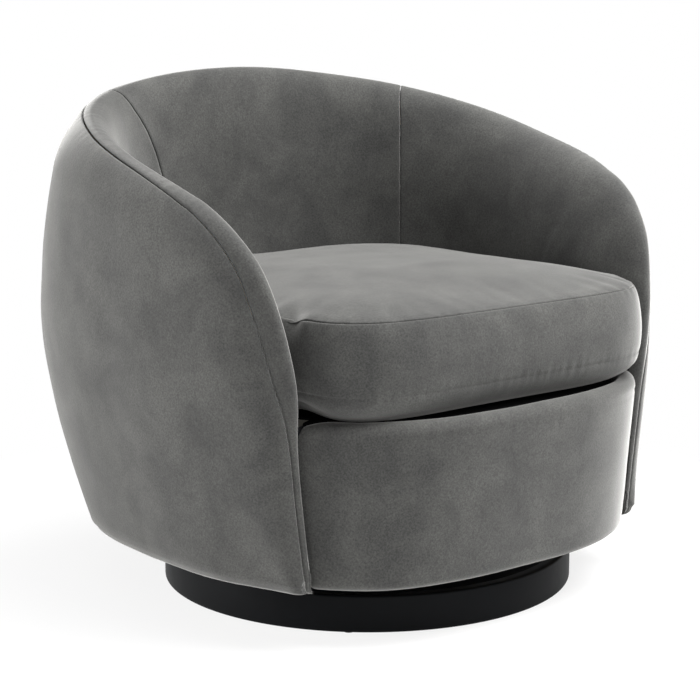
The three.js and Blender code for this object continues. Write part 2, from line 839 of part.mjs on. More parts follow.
function roundPlate(outer, inner, thickness, holeRadius, holeTurn) {
  const shape = new THREE.Shape();
  shape.setFromPoints(circlePoints(outer, 0, 0, roundSegments));
  if (inner > 0) shape.holes.push(circleHole(inner, 0, 0, roundSegments));
  for (const angle of screwAngles(holeTurn)) {
    const ring = bearingScrewCircleDiameter / 2;
    shape.holes.push(circleHole(holeRadius, ring * Math.cos(angle), ring * Math.sin(angle), screwSegments));
  }
  return slab(shape, thickness);
}

function rod(radius, length, segments) {
  return new THREE.CylinderGeometry(radius, radius, length, segments).rotateX(Math.PI / 2);
}

function aroundAxis(angle, radius, height = 0) {
  return new THREE.Vector3(radius * Math.cos(angle), radius * Math.sin(angle), height);
}

function screwAngles(turn) {
  return shares(screwCount).slice(0, -1).map((share) => (share + turn) * Math.PI * 2);
}

function screw(up, length) {
  const head = screwHeadDiameter / 2;
  const shank = screwShankDiameter / 2;
  const sign = up ? 1 : -1;
  const profile = [
    [0, -sign * screwHeadHeight], [head, -sign * screwHeadHeight], [head, 0], [shank, 0],
    [shank, sign * length], [0, sign * length],
  ];
  return latheSolid(up ? profile : profile.reverse(), screwSegments);
}

const lowerTurnShare = 0;
const upperTurnShare = 0.125;
const lowerPlateBottom = plinthHeight + gap;
const ballLevel = lowerPlateBottom + bearingPlateThickness + gap + ballDiameter / 2;
const upperPlateBottom = ballLevel + ballDiameter / 2 + gap;
const spacerBottom = upperPlateBottom + bearingPlateThickness + gap;
const spacerThickness = boardBottom - gap - spacerBottom;
const boardHoleRadius = screwShankDiameter / 2 + gap;

function addPlinth() {
  addPiece('plinth_ring', plinthRing(), 'black_lacquer');
  const boardRadius = plinthDiameter / 2 - plinthWall - gap;
  const board = roundPlate(boardRadius, 0, plinthBoardThickness, boardHoleRadius, lowerTurnShare);
  const boardPlace = new THREE.Vector3(0, 0, plinthHeight - plinthBoardThickness);
  addPiece('plinth_board', board, 'black_lacquer', boardPlace);
  const glide = rod(glideDiameter / 2, glideHeight, screwSegments * 2);
  shares(glideCount).slice(0, -1).forEach((share, i) => {
    const angle = (share + upperTurnShare) * Math.PI * 2;
    const place = aroundAxis(angle, glideCircleDiameter / 2);
    addPiece(`glide_${i + 1}`, glide, 'nylon', place.setZ(glideHeight / 2));
  });
}

// Swivel: two steel plates on a caged ring of balls

const glideCount = 4;
const cageWidth = 12;
const ballCount = 16;
const ballDetail = 1;

function ballCage() {
  const middle = ballCircleDiameter / 2;
  const profile = [
    [middle - cageWidth / 2, -ballCageThickness / 2], [middle + cageWidth / 2, -ballCageThickness / 2],
    [middle + cageWidth / 2, ballCageThickness / 2], [middle - cageWidth / 2, ballCageThickness / 2],
    [middle - cageWidth / 2, -ballCageThickness / 2],
  ];
  let solid = solidOf(latheSolid(profile, ballCount * 2));
  const ball = new THREE.OctahedronGeometry(ballDiameter / 2, ballDetail);
  for (const share of shares(ballCount).slice(0, -1)) {
    const angle = (share + upperTurnShare / 2) * Math.PI * 2;
    const placed = ball.clone().translate(middle * Math.cos(angle), middle * Math.sin(angle), 0);
    solid = solid.add(solidOf(placed));
  }
  return geometryOf(solid);
}

function addSwivel() {
  const outer = bearingOuterDiameter / 2;
  const inner = bearingInnerDiameter / 2;
  const at = (height) => new THREE.Vector3(0, 0, height);
  const plate = (turn) => roundPlate(outer, inner, bearingPlateThickness, boardHoleRadius, turn);
  addPiece('swivel_lower_plate', plate(lowerTurnShare), 'zinc_steel', at(lowerPlateBottom));
  addPiece('swivel_ball_cage', ballCage(), 'zinc_steel', at(ballLevel));
  addPiece('swivel_upper_plate', plate(upperTurnShare), 'zinc_steel', at(upperPlateBottom));
  const spacer = roundPlate(spacerDiameter / 2, 0, spacerThickness, boardHoleRadius, upperTurnShare);
  addPiece('swivel_spacer_board', spacer, 'black_lacquer', at(spacerBottom));
  const ring = bearingScrewCircleDiameter / 2;
  const lowerSeat = lowerPlateBottom + bearingPlateThickness + gap;
  const upperSeat = upperPlateBottom - gap;
  screwAngles(lowerTurnShare).forEach((angle, i) => {
    const place = aroundAxis(angle, ring, lowerSeat);
    addPiece(`swivel_lower_screw_${i + 1}`, screw(false, lowerScrewLength), 'zinc_steel', place);
  });
  screwAngles(upperTurnShare).forEach((angle, i) => {
    const place = aroundAxis(angle, ring, upperSeat);
    addPiece(`swivel_upper_screw_${i + 1}`, screw(true, upperScrewLength), 'zinc_steel', place);
  });
}

// Base board and dust cover

const boardInset = 17;
const boardFromDegrees = 61;
const boardNoseInset = 8;
const boardRailHalf = noseTip(hemHeight).x - boardNoseInset;
const dustFromDegrees = 71;
const dustNoseInset = 25;
const dustRailHalf = noseTip(hemHeight).x - dustNoseInset;
const dustThickness = 1;
const dustClearance = 13;

function addBase() {
  const edge = drumOutline(
    boardInset,
    outerReach,
    boardFromDegrees,
    hemHeight,
    boardInset,
    boardRailHalf,
  );
  const board = solidOf(slab(outlineShape(edge), boardThickness));
  const reach = upperPlateBottom - gap + upperScrewLength - boardBottom + gap;
  const bore = rod(boardHoleRadius, reach * 2, screwSegments);
  let cut = board;
  for (const angle of screwAngles(upperTurnShare)) {
    const ring = bearingScrewCircleDiameter / 2;
    cut = cut.subtract(solidOf(bore.clone().translate(ring * Math.cos(angle), ring * Math.sin(angle), 0)));
  }
  addPiece('base_board', geometryOf(cut), 'plywood', new THREE.Vector3(0, 0, boardBottom));
  const inset = hemTurnDepth + dustClearance;
  const dustEdge = drumOutline(inset, outerReach, dustFromDegrees, hemHeight, inset, dustRailHalf);
  const dust = outlineShape(dustEdge);
  dust.holes.push(circleHole(spacerDiameter / 2 + dustClearance, 0, 0, roundSegments));
  const place = new THREE.Vector3(0, 0, boardBottom - gap - dustThickness);
  addPiece('dust_cover', slab(dust, dustThickness), 'lining', place);
}

// Seat frame: two side panels and a back rail on the board, a curved front rail and its panel

const seatPanelThickness = 18;
const seatPanelInset = 60;
const backRailInset = 54;
const seatPanelX = railEnd(hemHeight) - seatPanelInset;
const seatPanelBackY = innerBackReach + barrelCentreY - backRailInset;
const frontRailInset = 27;
const frontRailEndInset = 20;
const frontPanelThickness = 6;
const frontPanelInset = foamInset + railFoamThickness + softGap * 2;

function boxPiece(name, finish, from, to) {
  const size = new THREE.Vector3().subVectors(to, from);
  const middle = new THREE.Vector3().addVectors(from, to).multiplyScalar(1 / 2);
  addPiece(name, new THREE.BoxGeometry(size.x, size.y, size.z), finish, middle);
}

function addSeatFrame() {
  const bottom = boardTop + gap;
  const sideX = seatPanelX + seatPanelThickness;
  const seatPanelFrontY = railFaceY(sideX, frontRailInset + timberThickness, hemHeight) + softGap * 2;
  for (const [name, side] of [['left', -1], ['right', 1]]) {
    const near = seatPanelX;
    const far = seatPanelX + seatPanelThickness;
    const from = new THREE.Vector3(Math.min(side * near, side * far), seatPanelFrontY, bottom);
    const to = new THREE.Vector3(Math.max(side * near, side * far), seatPanelBackY, seatRailTop);
    boxPiece(`seat_panel_${name}`, 'plywood', from, to);
  }
  const half = seatPanelX - gap;
  boxPiece(
    'back_rail',
    'timber',
    new THREE.Vector3(-half, seatPanelBackY - timberThickness, bottom),
    new THREE.Vector3(half, seatPanelBackY, seatRailTop),
  );
  const insets = [frontRailInset, frontRailInset + timberThickness];
  const heights = [seatRailTop - railTimberHeight, seatRailTop];
  const frontHalf = railEnd(hemHeight) - frontRailEndInset;
  addPiece('front_rail', railBand(insets, heights, frontHalf, railColumns), 'timber');
  const panelBand = [frontPanelInset, frontPanelInset + frontPanelThickness];
  const frontPanel = railBand(panelBand, [bottom, seatRailTop], frontHalf, railColumns);
  addPiece('front_panel', frontPanel, 'plywood');
}

// Springs: zigzag wires from clips on the front rail to clips on the back rail

const springBars = 12;
const springSides = 4;
const springSteps = 46;
const springEndWidth = 26;
const clipWall = 1.6;
const clipHeight = springWire + (clipWall + gap) * 2;
const clipDepth = 14;
const springLevel = seatRailTop + gap + clipHeight / 2;
const clipStripOverhang = 12;
const clipStripHalf = seatPanelX + clipStripOverhang;
const springPitch = (clipStripHalf * 2 - springWaveWidth) / (springCount - 1);

// Points of the open channel section: its depth from the lips and its height from the middle
function clipSection() {
  const half = clipHeight / 2;
  const inner = half - clipWall;
  const web = clipDepth - clipWall;
  return [
    [0, -half], [clipDepth, -half], [clipDepth, half], [0, half],
    [0, inner], [web, inner], [web, -inner], [0, -inner],
  ];
}

function frontClipStrip() {
  const lipInset = frontRailInset + timberThickness;
  return loft(shares(railColumns).map((share) => lerp(-clipStripHalf, clipStripHalf, share))
    .map((x) => clipSection()
      .map(([depth, rise]) => railAcross(x, lipInset - depth, springLevel + rise))));
}

function backClipStrip() {
  const lipY = seatPanelBackY - timberThickness;
  return loft([-clipStripHalf, clipStripHalf].map((x) => (
    clipSection().map(([depth, rise]) => new THREE.Vector3(x, lipY + depth, springLevel + rise)))));
}

function springGeometry(startY, endY) {
  const points = [];
  for (let i = 0; i < springBars; i += 1) {
    const y = lerp(startY, endY, i / (springBars - 1));
    const side = i % 2 === 0 ? -1 : 1;
    const from = i === 0 ? springEndWidth : springWaveWidth;
    const to = i === springBars - 1 ? springEndWidth : springWaveWidth;
    points.push(new THREE.Vector3((side * from) / 2, y, 0), new THREE.Vector3((-side * to) / 2, y, 0));
  }
  const path = new THREE.CatmullRomCurve3(points, false, 'centripetal');
  const section = new THREE.Shape();
  section.absarc(0, 0, springWire / 2, 0, Math.PI * 2, false);
  return new THREE.ExtrudeGeometry(section, {
    steps: springSteps,
    curveSegments: springSides / 2,
    bevelEnabled: false,
    extrudePath: path,
  });
}

function addSprings() {
  addPiece('front_clip_strip', frontClipStrip(), 'zinc_steel');
  addPiece('back_clip_strip', backClipStrip(), 'zinc_steel');
  const seat = clipWall + springWire + gap * 3;
  for (let i = 0; i < springCount; i += 1) {
    const x = (i - (springCount - 1) / 2) * springPitch;
    const farX = Math.abs(x) + springEndWidth / 2 + springWire;
    const frontY = railFaceY(farX, frontRailInset + timberThickness - clipDepth + seat, hemHeight);
    const backY = seatPanelBackY - timberThickness + clipDepth - seat;
    const place = new THREE.Vector3(x, 0, springLevel);
    addPiece(`spring_${i + 1}`, springGeometry(frontY, backY), 'spring_steel', place);
  }
}

// Deck: a felt pad over the springs and a lining cloth over the pad

const deckOverlap = 4;
const deckFromDegrees = 73;
const deckRailOverhang = 18;
const deckRailHalf = seatPanelX + deckRailOverhang;
const deckRailInset = foamInset + railFoamThickness + softGap;

function addDeck() {
  const reach = (angle) => innerReach(angle) + deckOverlap;
  const frontInset = deckRailInset + railTopDepth;
  const edge = drumOutline(0, reach, deckFromDegrees, widestHeight, frontInset, deckRailHalf);
  const outline = outlineShape(edge);
  const clothBottom = deckHeight - coverThickness + gap;
  const padTop = clothBottom - gap;
  const padBottom = padTop - deckPadThickness;
  addPiece('deck_pad', slab(outline, deckPadThickness), 'felt', new THREE.Vector3(0, 0, padBottom));
  const cloth = slab(outline, deckHeight - clothBottom);
  addPiece('deck_cloth', cloth, 'lining', new THREE.Vector3(0, 0, clothBottom));
}

// Posts, rim timber, lower panels, foam and covers of the barrel

const panelSkippedLines = 7;

function addShell() {
  const cuts = { left: [], right: [], back: [] };
  for (const [name, side] of [['left', -1], ['right', 1]]) {
    for (const row of postPlaces) {
      addPiece(`${row[0]}_${name}`, post(row, side), 'timber');
      cuts[row[0] === 'back_post' ? 'back' : name].push(solidOf(post(row, side, softGap)));
    }
  }
  addPiece('rim_timber', rimTimber(), 'timber');
  const hoop = solidOf(rimTimber(softGap));
  const sideLines = onSide(armHalf.slice(panelSkippedLines), -1);
  addPiece('side_panel_left', lowerPanel(sideLines), 'hardboard');
  addPiece('side_panel_right', lowerPanel(onSide(sideLines, 1).reverse()), 'hardboard');
  addPiece('back_panel', lowerPanel(backLines()), 'hardboard');
  addPiece('outside_cover', outsideCover(), 'velvet');
  const leftFoam = foamBlock(armLines(-1).slice(1), [...cuts.left, hoop]);
  const rightFoam = foamBlock(armLines(1).slice(0, -1), [...cuts.right, hoop]);
  addPiece('arm_foam_left', geometryOf(leftFoam), 'foam');
  addPiece('arm_foam_right', geometryOf(rightFoam), 'foam');
  addPiece('back_foam', geometryOf(foamBlock(backLines(), [...cuts.back, hoop])), 'foam');
  addPiece('inside_arm_cover_left', insideCover(armLines(-1)), 'velvet');
  addPiece('inside_arm_cover_right', insideCover(armLines(1)), 'velvet');
  addPiece('inside_back_cover', insideCover(backLines()), 'velvet');
}

// Padding and cover of the front rail, cut back where the arm noses are

function noseEnvelope(side) {
  return solidOf(loft(armLines(side).map((line) => foamLoop(line, -softGap))));
}

function largestOf(solid) {
  return solid.decompose().reduce((best, piece) => (piece.volume() > best.volume() ? piece : best));
}

function addRailCovering() {
  let foam = solidOf(railFoam());
  let cover = solidOf(railCover());
  for (const side of [-1, 1]) {
    foam = foam.subtract(noseEnvelope(side));
    cover = cover.subtract(noseEnvelope(side));
  }
  addPiece('rail_foam', geometryOf(largestOf(foam)), 'foam');
  addPiece('rail_cover', geometryOf(largestOf(cover)), 'velvet');
}

// Seat cushion: a crowned foam core in a velvet case that closes with a zip at the back

const cushionAngles = 36;
const cushionTopShares = [0.4, 0.7, 0.9, 1];
const cushionBottomShares = [0.95, 0.8, 0.4];
const cushionSideShares = [0.3, 0.7];
const caseThickness = 2.4;
const coreInset = caseThickness + softGap;
const zipHeight = 8;
const zipHalfLength = 190;
const crownShare = 2.4;
const edgeDropShare = 0.35;

const cushionFrontReach = railReach - cushionSetBack;

function cushionReach(angle, inset) {
  return roundedReach(
    angle,
    cushionHalfWidth - inset,
    cushionFrontReach - inset,
    cushionBackReach - inset,
    cushionFrontRoundShare,
    cushionBackRoundShare,
  );
}

function cushionRings(inset) {
  const top = cushionTopSeamHeight - inset;
  const bottom = cushionBottomSeamHeight + inset;
  const ring = (share, reachExtra, height) => Array.from({ length: cushionAngles }, (_, i) => {
    const angle = (i / cushionAngles) * Math.PI * 2;
    const reach = share * cushionReach(angle, inset) + reachExtra;
    return new THREE.Vector3(reach * Math.sin(angle), cushionCentreY - reach * Math.cos(angle), height);
  });
  const crown = (share, height) => height * (1 - share ** crownShare) ** (1 - edgeDropShare);
  return [
    ...cushionTopShares.map((share) => ring(share, 0, top + crown(share, cushionTopCrown))),
    ...cushionSideShares.map((part) => {
      const bulge = cushionSideBulge * Math.sin(part * Math.PI);
      return ring(1, bulge, lerp(top, bottom, part));
    }),
    ring(1, 0, bottom),
    ...cushionBottomShares.map((share) => ring(share, 0, bottom - crown(share, cushionBottomCrown))),
  ];
}

function ringSolid(rings, topHeight, bottomHeight) {
  const count = rings[0].length;
  const middle = (height) => new THREE.Vector3(0, cushionCentreY, height);
  const points = [...rings.flat(), middle(topHeight), middle(bottomHeight)];
  const last = (rings.length - 1) * count;
  const faces = [];
  for (let j = 0; j < count; j += 1) {
    const k = (j + 1) % count;
    faces.push([rings.length * count, j, k], [rings.length * count + 1, last + k, last + j]);
    for (let i = 0; i + 1 < rings.length; i += 1) {
      const row = i * count;
      faces.push([row + j, row + count + j, row + count + k], [row + j, row + count + k, row + k]);
    }
  }
  return geometryFrom(points, faces);
}

function cushionSolid(inset) {
  const top = cushionTopSeamHeight - inset + cushionTopCrown;
  const bottom = cushionBottomSeamHeight + inset - cushionBottomCrown;
  return ringSolid(cushionRings(inset), top, bottom);
}

function addCushion() {
  const outer = solidOf(cushionSolid(0));
  const inner = solidOf(cushionSolid(caseThickness));
  const zipY = cushionCentreY + cushionBackReach;
  const zipLevel = (cushionTopSeamHeight + cushionBottomSeamHeight) / 2;
  const slot = (grow) => solidOf(new THREE.BoxGeometry(
    (zipHalfLength + grow) * 2,
    cushionBackReach,
    zipHeight + grow * 2,
  ).translate(0, zipY, zipLevel));
  const skin = outer.subtract(inner);
  addPiece('cushion_core', cushionSolid(coreInset), 'foam');
  addPiece('cushion_case', geometryOf(largestOf(skin.subtract(slot(gap)))), 'velvet');
  addPiece('cushion_zip', geometryOf(largestOf(skin.intersect(slot(0)))), 'nylon');
}

addPlinth();
addSwivel();
addBase();
addSeatFrame();
addSprings();
addDeck();
addShell();
addRailCovering();
addCushion();

const middle = new THREE.Box3().setFromObject(group).getCenter(new THREE.Vector3());
for (const mesh of group.children) mesh.position.y -= middle.y;

export default group;
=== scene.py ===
"""Swivel barrel chair in grey velvet on a black plinth: the dressed model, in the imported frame.

Blender works in metres. Every length in this script is in mm about the swivel axis, until link() places it.
"""
import json
import math

import bmesh
import bpy
import numpy as np
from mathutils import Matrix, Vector, noise


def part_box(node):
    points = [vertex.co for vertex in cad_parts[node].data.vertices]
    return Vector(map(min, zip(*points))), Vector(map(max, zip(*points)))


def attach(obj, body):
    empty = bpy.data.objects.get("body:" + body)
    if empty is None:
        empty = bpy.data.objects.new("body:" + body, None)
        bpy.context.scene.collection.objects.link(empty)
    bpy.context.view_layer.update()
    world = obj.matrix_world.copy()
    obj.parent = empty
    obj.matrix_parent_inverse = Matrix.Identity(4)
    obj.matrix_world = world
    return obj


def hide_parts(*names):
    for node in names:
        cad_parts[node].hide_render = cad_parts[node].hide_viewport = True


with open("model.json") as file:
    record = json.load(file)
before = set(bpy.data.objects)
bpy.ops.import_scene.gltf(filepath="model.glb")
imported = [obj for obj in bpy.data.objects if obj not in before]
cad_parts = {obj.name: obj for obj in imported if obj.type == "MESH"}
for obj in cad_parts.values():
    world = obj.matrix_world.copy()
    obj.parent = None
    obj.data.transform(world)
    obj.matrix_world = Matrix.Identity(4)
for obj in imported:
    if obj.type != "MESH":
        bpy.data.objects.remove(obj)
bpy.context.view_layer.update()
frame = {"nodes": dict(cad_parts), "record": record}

MM = 0.001
ring_low, ring_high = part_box("plinth_ring")
AXIS_Y = (ring_low[1] + ring_high[1]) / 2 / MM

# Sizes of the shell
HEM = 76.0
HEM_RADIUS = 14.0
HEM_TURN = 34.0
RIM_TOP = 708.0
COVER = 2.4
LINING = 0.5
SEAM_HALF = 0.4
SEAM_LIP = 2.2
WIDEST = 395.0
HALF_WIDTH = 414.0
FRONT_REACH = 388.0
BACK_REACH = 384.0
TOP_BACK_REACH = 365.0
INNER_HALF_WIDTH = 304.0
INNER_FRONT_REACH = 300.0
INNER_BACK_REACH = 286.0
FOOT_DRAW = 69.0
RAIL_TOP = 297.0
RAIL_EDGE = 16.0
DECK = 288.0
BOARD_TOP = 94.0
NOSE_TURN = 46.0
NOSE_BULGE = 8.0
NOSE_BULGE_AT = 38.0
NOSE_LOW = 150.0
NOSE_HIGH = 270.0
# How square the plan is: 2 is an ellipse. The back turns rounder between two heights
FRONT_ROUND = 2.36
BACK_SQUARE = 3.0
INNER_FRONT_SQUARE = 6.0
INNER_BACK_ROUND = 2.6
SQUARE_BELOW = 300.0
ROUND_ABOVE = 650.0
FOOT_CURVE = 1.46
# The middle of the plan lies furthest back at the widest height, and comes forward above and below it
CENTRE_Y = 24.0
CENTRE_SWING = 18.4
SWING_HEIGHT = 230.0
# The roll, where the rim is level and where it is upright: its depth outside and inside, and its crest's draw
ROLL_OUTSIDE = (75, 27)
ROLL_INSIDE = (180, 75)
ROLL_DRAW = (37, 10)

# The rim: angle from straight ahead in degrees, height as a share of RIM_TOP
RIM = [
    (52.2, 0.107), (51.4, 0.226), (50.8, 0.381), (50.2, 0.48), (52.5, 0.598),
    (56.4, 0.688), (62, 0.747), (68, 0.786), (74, 0.81), (80, 0.829),
    (95, 0.868), (115, 0.921), (140, 0.974), (180, 1.007), (220, 0.974),
]
# The outer seam: share of the rim, distance below it as a share of SEAM_DROP
SEAM_DROP = 75
SEAM = [
    (0, 0.08), (0.14, 0.08), (0.165, 0.13), (0.2, 0.31), (0.24, 0.35), (0.3, 0.355),
    (0.34, 0.25), (0.38, 0.17), (0.42, 0.12), (0.46, 0.07), (0.5, 0.04), (0.56, 0.025),
    (0.64, 0.025), (0.72, 0.08), (0.84, 0.26), (1, 0.34),
]
# The seams between arms and back leave the rim at an angle, and run down the inside: height and angle
SPLIT_ANGLE = {-1: 137.5, 1: 132.25}
SPLIT_RUN = {
    -1: [
        (690, 137.5), (658, 140.5), (642, 142.8), (623, 145.4),
        (590, 148.4), (560, 150.4), (520, 151.6), (400, 152),
    ],
    1: [
        (690, 132.25), (658, 131.5), (642, 131.0), (623, 130.4),
        (590, 129.7), (560, 129.1), (520, 128.5), (400, 127.6),
    ],
}
SPLIT_SPREAD = 280.0


def superellipse(angle, half_width, front, back, front_n, back_n):
    """Reach of a rounded plan at an angle from straight ahead, as square as it says in front and behind."""
    ahead = np.cos(angle)
    n = np.where(ahead > 0, front_n, back_n)
    across = np.abs(np.sin(angle)) / half_width
    along = np.abs(ahead) / np.where(ahead > 0, front, back)
    return (across**n + along**n) ** (-1 / n)


def centre_y(z):
    return CENTRE_Y - CENTRE_SWING * ((z - WIDEST) / SWING_HEIGHT) ** 2


def outer_reach(angle, z):
    rise = np.clip((z - SQUARE_BELOW) / (ROUND_ABOVE - SQUARE_BELOW), 0, 1) ** 2
    back = BACK_REACH + (TOP_BACK_REACH - BACK_REACH) * rise
    back_n = BACK_SQUARE + (FRONT_ROUND - BACK_SQUARE) * rise
    draw = FOOT_DRAW * (np.maximum(WIDEST - z, 0) / WIDEST) ** FOOT_CURVE
    return superellipse(angle, HALF_WIDTH, FRONT_REACH, back, FRONT_ROUND, back_n) - draw


def inner_reach(angle):
    return superellipse(
        angle, INNER_HALF_WIDTH, INNER_FRONT_REACH, INNER_BACK_REACH, INNER_FRONT_SQUARE, INNER_BACK_ROUND
    )


def barrel(angle, reach, z):
    """Point of the barrel in mm: angle from straight ahead, reach from its centre line, height."""
    return np.stack([reach * np.sin(angle), centre_y(z) - reach * np.cos(angle), z], -1)


GIRTH = (HALF_WIDTH + BACK_REACH) / 2


def rim_path(count=960):
    """The rim rolled out flat, girth and height, up to the middle of the back."""
    pts = [np.array([math.radians(a) * GIRTH, s * RIM_TOP]) for a, s in RIM]
    end = (len(pts) - 2) / (len(pts) - 1)
    out = []
    for i in range(count + 1):
        p = (len(pts) - 1) * end * i / count
        k = min(int(p), len(pts) - 2)
        w = p - k
        p1, p2 = pts[k], pts[k + 1]
        p0 = pts[k - 1] if k > 0 else 2 * pts[0] - pts[1]
        p3 = pts[k + 2] if k + 2 < len(pts) else 2 * pts[-1] - pts[-2]
        d0, d1, d2 = (np.linalg.norm(b - a) ** 0.5 for a, b in zip((p0, p1, p2), (p1, p2, p3)))
        t1 = ((p1 - p0) / d0 - (p2 - p0) / (d0 + d1) + (p2 - p1) / d1) * d1
        t2 = ((p2 - p1) / d1 - (p3 - p1) / (d1 + d2) + (p3 - p2) / d2) * d1
        c2 = -3 * p1 + 3 * p2 - 2 * t1 - t2
        c3 = 2 * p1 - 2 * p2 + t1 + t2
        out.append(p1 + t1 * w + c2 * w * w + c3 * w**3)
    return np.array(out)


def run_lengths(points):
    """Distance along a line of points from its start to each of them."""
    return np.concatenate([[0], np.cumsum(np.linalg.norm(np.diff(points, axis=0), axis=1))])


PATH = rim_path()
LENGTHS = run_lengths(PATH)
RIM_LENGTH = LENGTHS[-1]
SHARES = LENGTHS / RIM_LENGTH
STRAIGHT_ANGLE = 100
STRAIGHT = math.radians(STRAIGHT_ANGLE) * GIRTH
SAMPLES = 64


def smooth_table(rows, width, count=1200):
    """A table as a smooth curve: its straight runs rounded over a width of the table."""
    x = np.linspace(0, 1, count + 1)
    y = np.interp(x, [r[0] for r in rows], [r[1] for r in rows])
    half = int(width * count)
    kernel = np.hanning(2 * half + 1)
    padded = np.concatenate([np.full(half, y[0]), y, y[::-1][1:half + 1]])
    return x, np.convolve(padded, kernel / kernel.sum(), mode="valid")


SEAM_X, SEAM_Y = smooth_table(SEAM, 0.035)


def share_at_height(z):
    return float(np.interp(z, PATH[:, 1], SHARES))


def share_at_angle(degrees):
    start = PATH[:, 0].argmin()
    return float(np.interp(math.radians(degrees) * GIRTH, PATH[start:, 0], SHARES[start:]))


STRAIGHT_SHARE = share_at_angle(STRAIGHT_ANGLE)


class Line:
    """A line of the wall: it leaves the rim square to it and reaches the hem straight down."""

    def __init__(self, share):
        self.share = share
        point = np.array([np.interp(share, SHARES, PATH[:, k]) for k in (0, 1)])
        step = 0.006
        before = np.array([np.interp(max(share - step, 0), SHARES, PATH[:, k]) for k in (0, 1)])
        after = np.array([np.interp(min(share + step, 1), SHARES, PATH[:, k]) for k in (0, 1)])
        if share + step > 1:
            after = np.array([2 * PATH[-1, 0] - before[0], before[1]])
        heading = (after - before) / np.linalg.norm(after - before)
        girth = point[0]
        if share < STRAIGHT_SHARE:
            girth = PATH[0, 0] + (STRAIGHT - PATH[0, 0]) * share / STRAIGHT_SHARE
        foot = np.array([girth, HEM])
        inward = np.array([heading[1], -heading[0]])
        handle = np.linalg.norm(foot - point) * 0.39
        a, b, c, d = point, point + inward * handle, foot + np.array([0, handle]), foot
        t = np.linspace(0, 1, SAMPLES + 1)[:, None]
        self.points = (1 - t) ** 3 * a + 3 * (1 - t) ** 2 * t * b + 3 * (1 - t) * t * t * c + t**3 * d
        self.lengths = run_lengths(self.points)
        self.total = self.lengths[-1]
        self.upright = min(max((heading[1] - 0.35) / 0.6, 0), 1)
        self.seam = float(np.interp(share, SEAM_X, SEAM_Y)) * SEAM_DROP
        self.outer_depth, self.inner_depth, self.draw = (
            level + (upright - level) * self.upright
            for level, upright in (ROLL_OUTSIDE, ROLL_INSIDE, ROLL_DRAW)
        )

    def at(self, distance):
        girth = np.interp(distance, self.lengths, self.points[:, 0])
        z = np.interp(distance, self.lengths, self.points[:, 1])
        return girth / GIRTH, z

    def down_to(self, z):
        return float(np.interp(-z, -self.points[:, 1], self.lengths))

    def outer(self, distance, inset=0.0, side=1):
        angle, z = self.at(distance + inset)
        left = np.clip((self.outer_depth - distance) / self.outer_depth, 0, 1)
        reach = outer_reach(angle, z) - inset
        reach = reach - (self.draw - inset) * (1 - np.sqrt(1 - left * left))
        return barrel(side * angle, reach + self.bulge(distance), z)

    def bulge(self, distance):
        """How far the outside stands out beyond the nose's seam."""
        beyond = np.maximum(distance - self.seam, 0) / NOSE_BULGE_AT
        return NOSE_BULGE * self.upright * beyond * np.exp(1 - beyond)

    def inner(self, distance, inset=0.0, side=1, turn=0.0):
        angle, z = self.at(distance + inset)
        angle = angle + turn
        crest = outer_reach(angle, z) - self.draw
        left = np.clip((self.inner_depth - distance) / self.inner_depth, 0, 1)
        reach = crest - (crest - inner_reach(angle) - inset) * np.sqrt(1 - left * left)
        return barrel(side * angle, reach, z)

    def level(self, distance, side=1):
        """The nose's inside, straight back from its tip."""
        angle = self.points[0, 0] / GIRTH + distance / GIRTH
        z = np.full(len(distance), self.points[0, 1])
        crest = outer_reach(angle, z) - self.draw
        left = np.clip((self.inner_depth - distance) / self.inner_depth, 0, 1)
        reach = crest - (crest - inner_reach(angle)) * np.sqrt(1 - left * left)
        return barrel(side * angle, reach, z)

    def roll_steps(self, depth, start, end, count):
        turn = [math.acos(max(1 - s / depth, -1)) for s in (start, end)]
        return depth * (1 - np.cos(np.linspace(turn[0], turn[1], count + 1)))

    def inside_end(self):
        deck = self.down_to(DECK + 0.6)
        board = self.down_to(BOARD_TOP)
        return min(max(deck, NOSE_TURN), board)


def link(name, points, faces):
    """A smooth object from points in mm about the swivel axis."""
    verts = np.array(points, float) * MM
    verts[:, 1] += AXIS_Y * MM
    mesh = bpy.data.meshes.new(name)
    mesh.from_pydata(verts.tolist(), [], faces)
    mesh.update()
    obj = bpy.data.objects.new(name, mesh)
    bpy.context.scene.collection.objects.link(obj)
    for polygon in mesh.polygons:
        polygon.use_smooth = True
    return obj


def cover(name, grid, inside_out=False, thickness=COVER):
    """A cloth cover of even thickness behind a grid of points, columns by rows."""
    columns, rows = grid.shape[:2]
    faces = []
    for c in range(columns - 1):
        for r in range(rows - 1):
            a, b = c * rows + r, (c + 1) * rows + r
            quad = (a, b, b + 1, a + 1)
            faces.append(quad[::-1] if inside_out else quad)
    obj = link(name, grid.reshape(-1, 3), faces)
    solid = obj.modifiers.new("cover_thickness", "SOLIDIFY")
    solid.thickness = thickness * MM
    solid.offset = -1
    return obj


def face_normals(grid, inside_out=False):
    """Unit normals of a cover's grid, out of its visible side."""
    normals = np.cross(np.gradient(grid, axis=0), np.gradient(grid, axis=1))
    normals /= np.maximum(np.linalg.norm(normals, axis=-1, keepdims=True), 1e-9)
    return -normals if inside_out else normals


# Seams
PUCKER_DEPTH = 0.55
PUCKER_REACH = 6.0


def turned_edge(distance, radius):
    """How far a cover sinks near its seam, where the edge is turned in over a radius."""
    d = np.clip(distance, 0, radius)
    return radius - np.sqrt(np.maximum(radius * radius - (radius - d) ** 2, 0))


def puckers(along, away):
    """Height of the small gathers beside a seam: along it, and away from it."""
    wave = 0.55 * np.sin(along / 2.3 + 1.7 * np.sin(along / 21))
    wave = wave + 0.45 * np.sin(along / 3.7 + 2.2 * np.sin(along / 34))
    swell = 0.65 + 0.35 * np.sin(along / 47 + 1.1)
    return PUCKER_DEPTH * wave * swell * np.exp(-away / PUCKER_REACH) * (1 - np.exp(-away / 1.2))


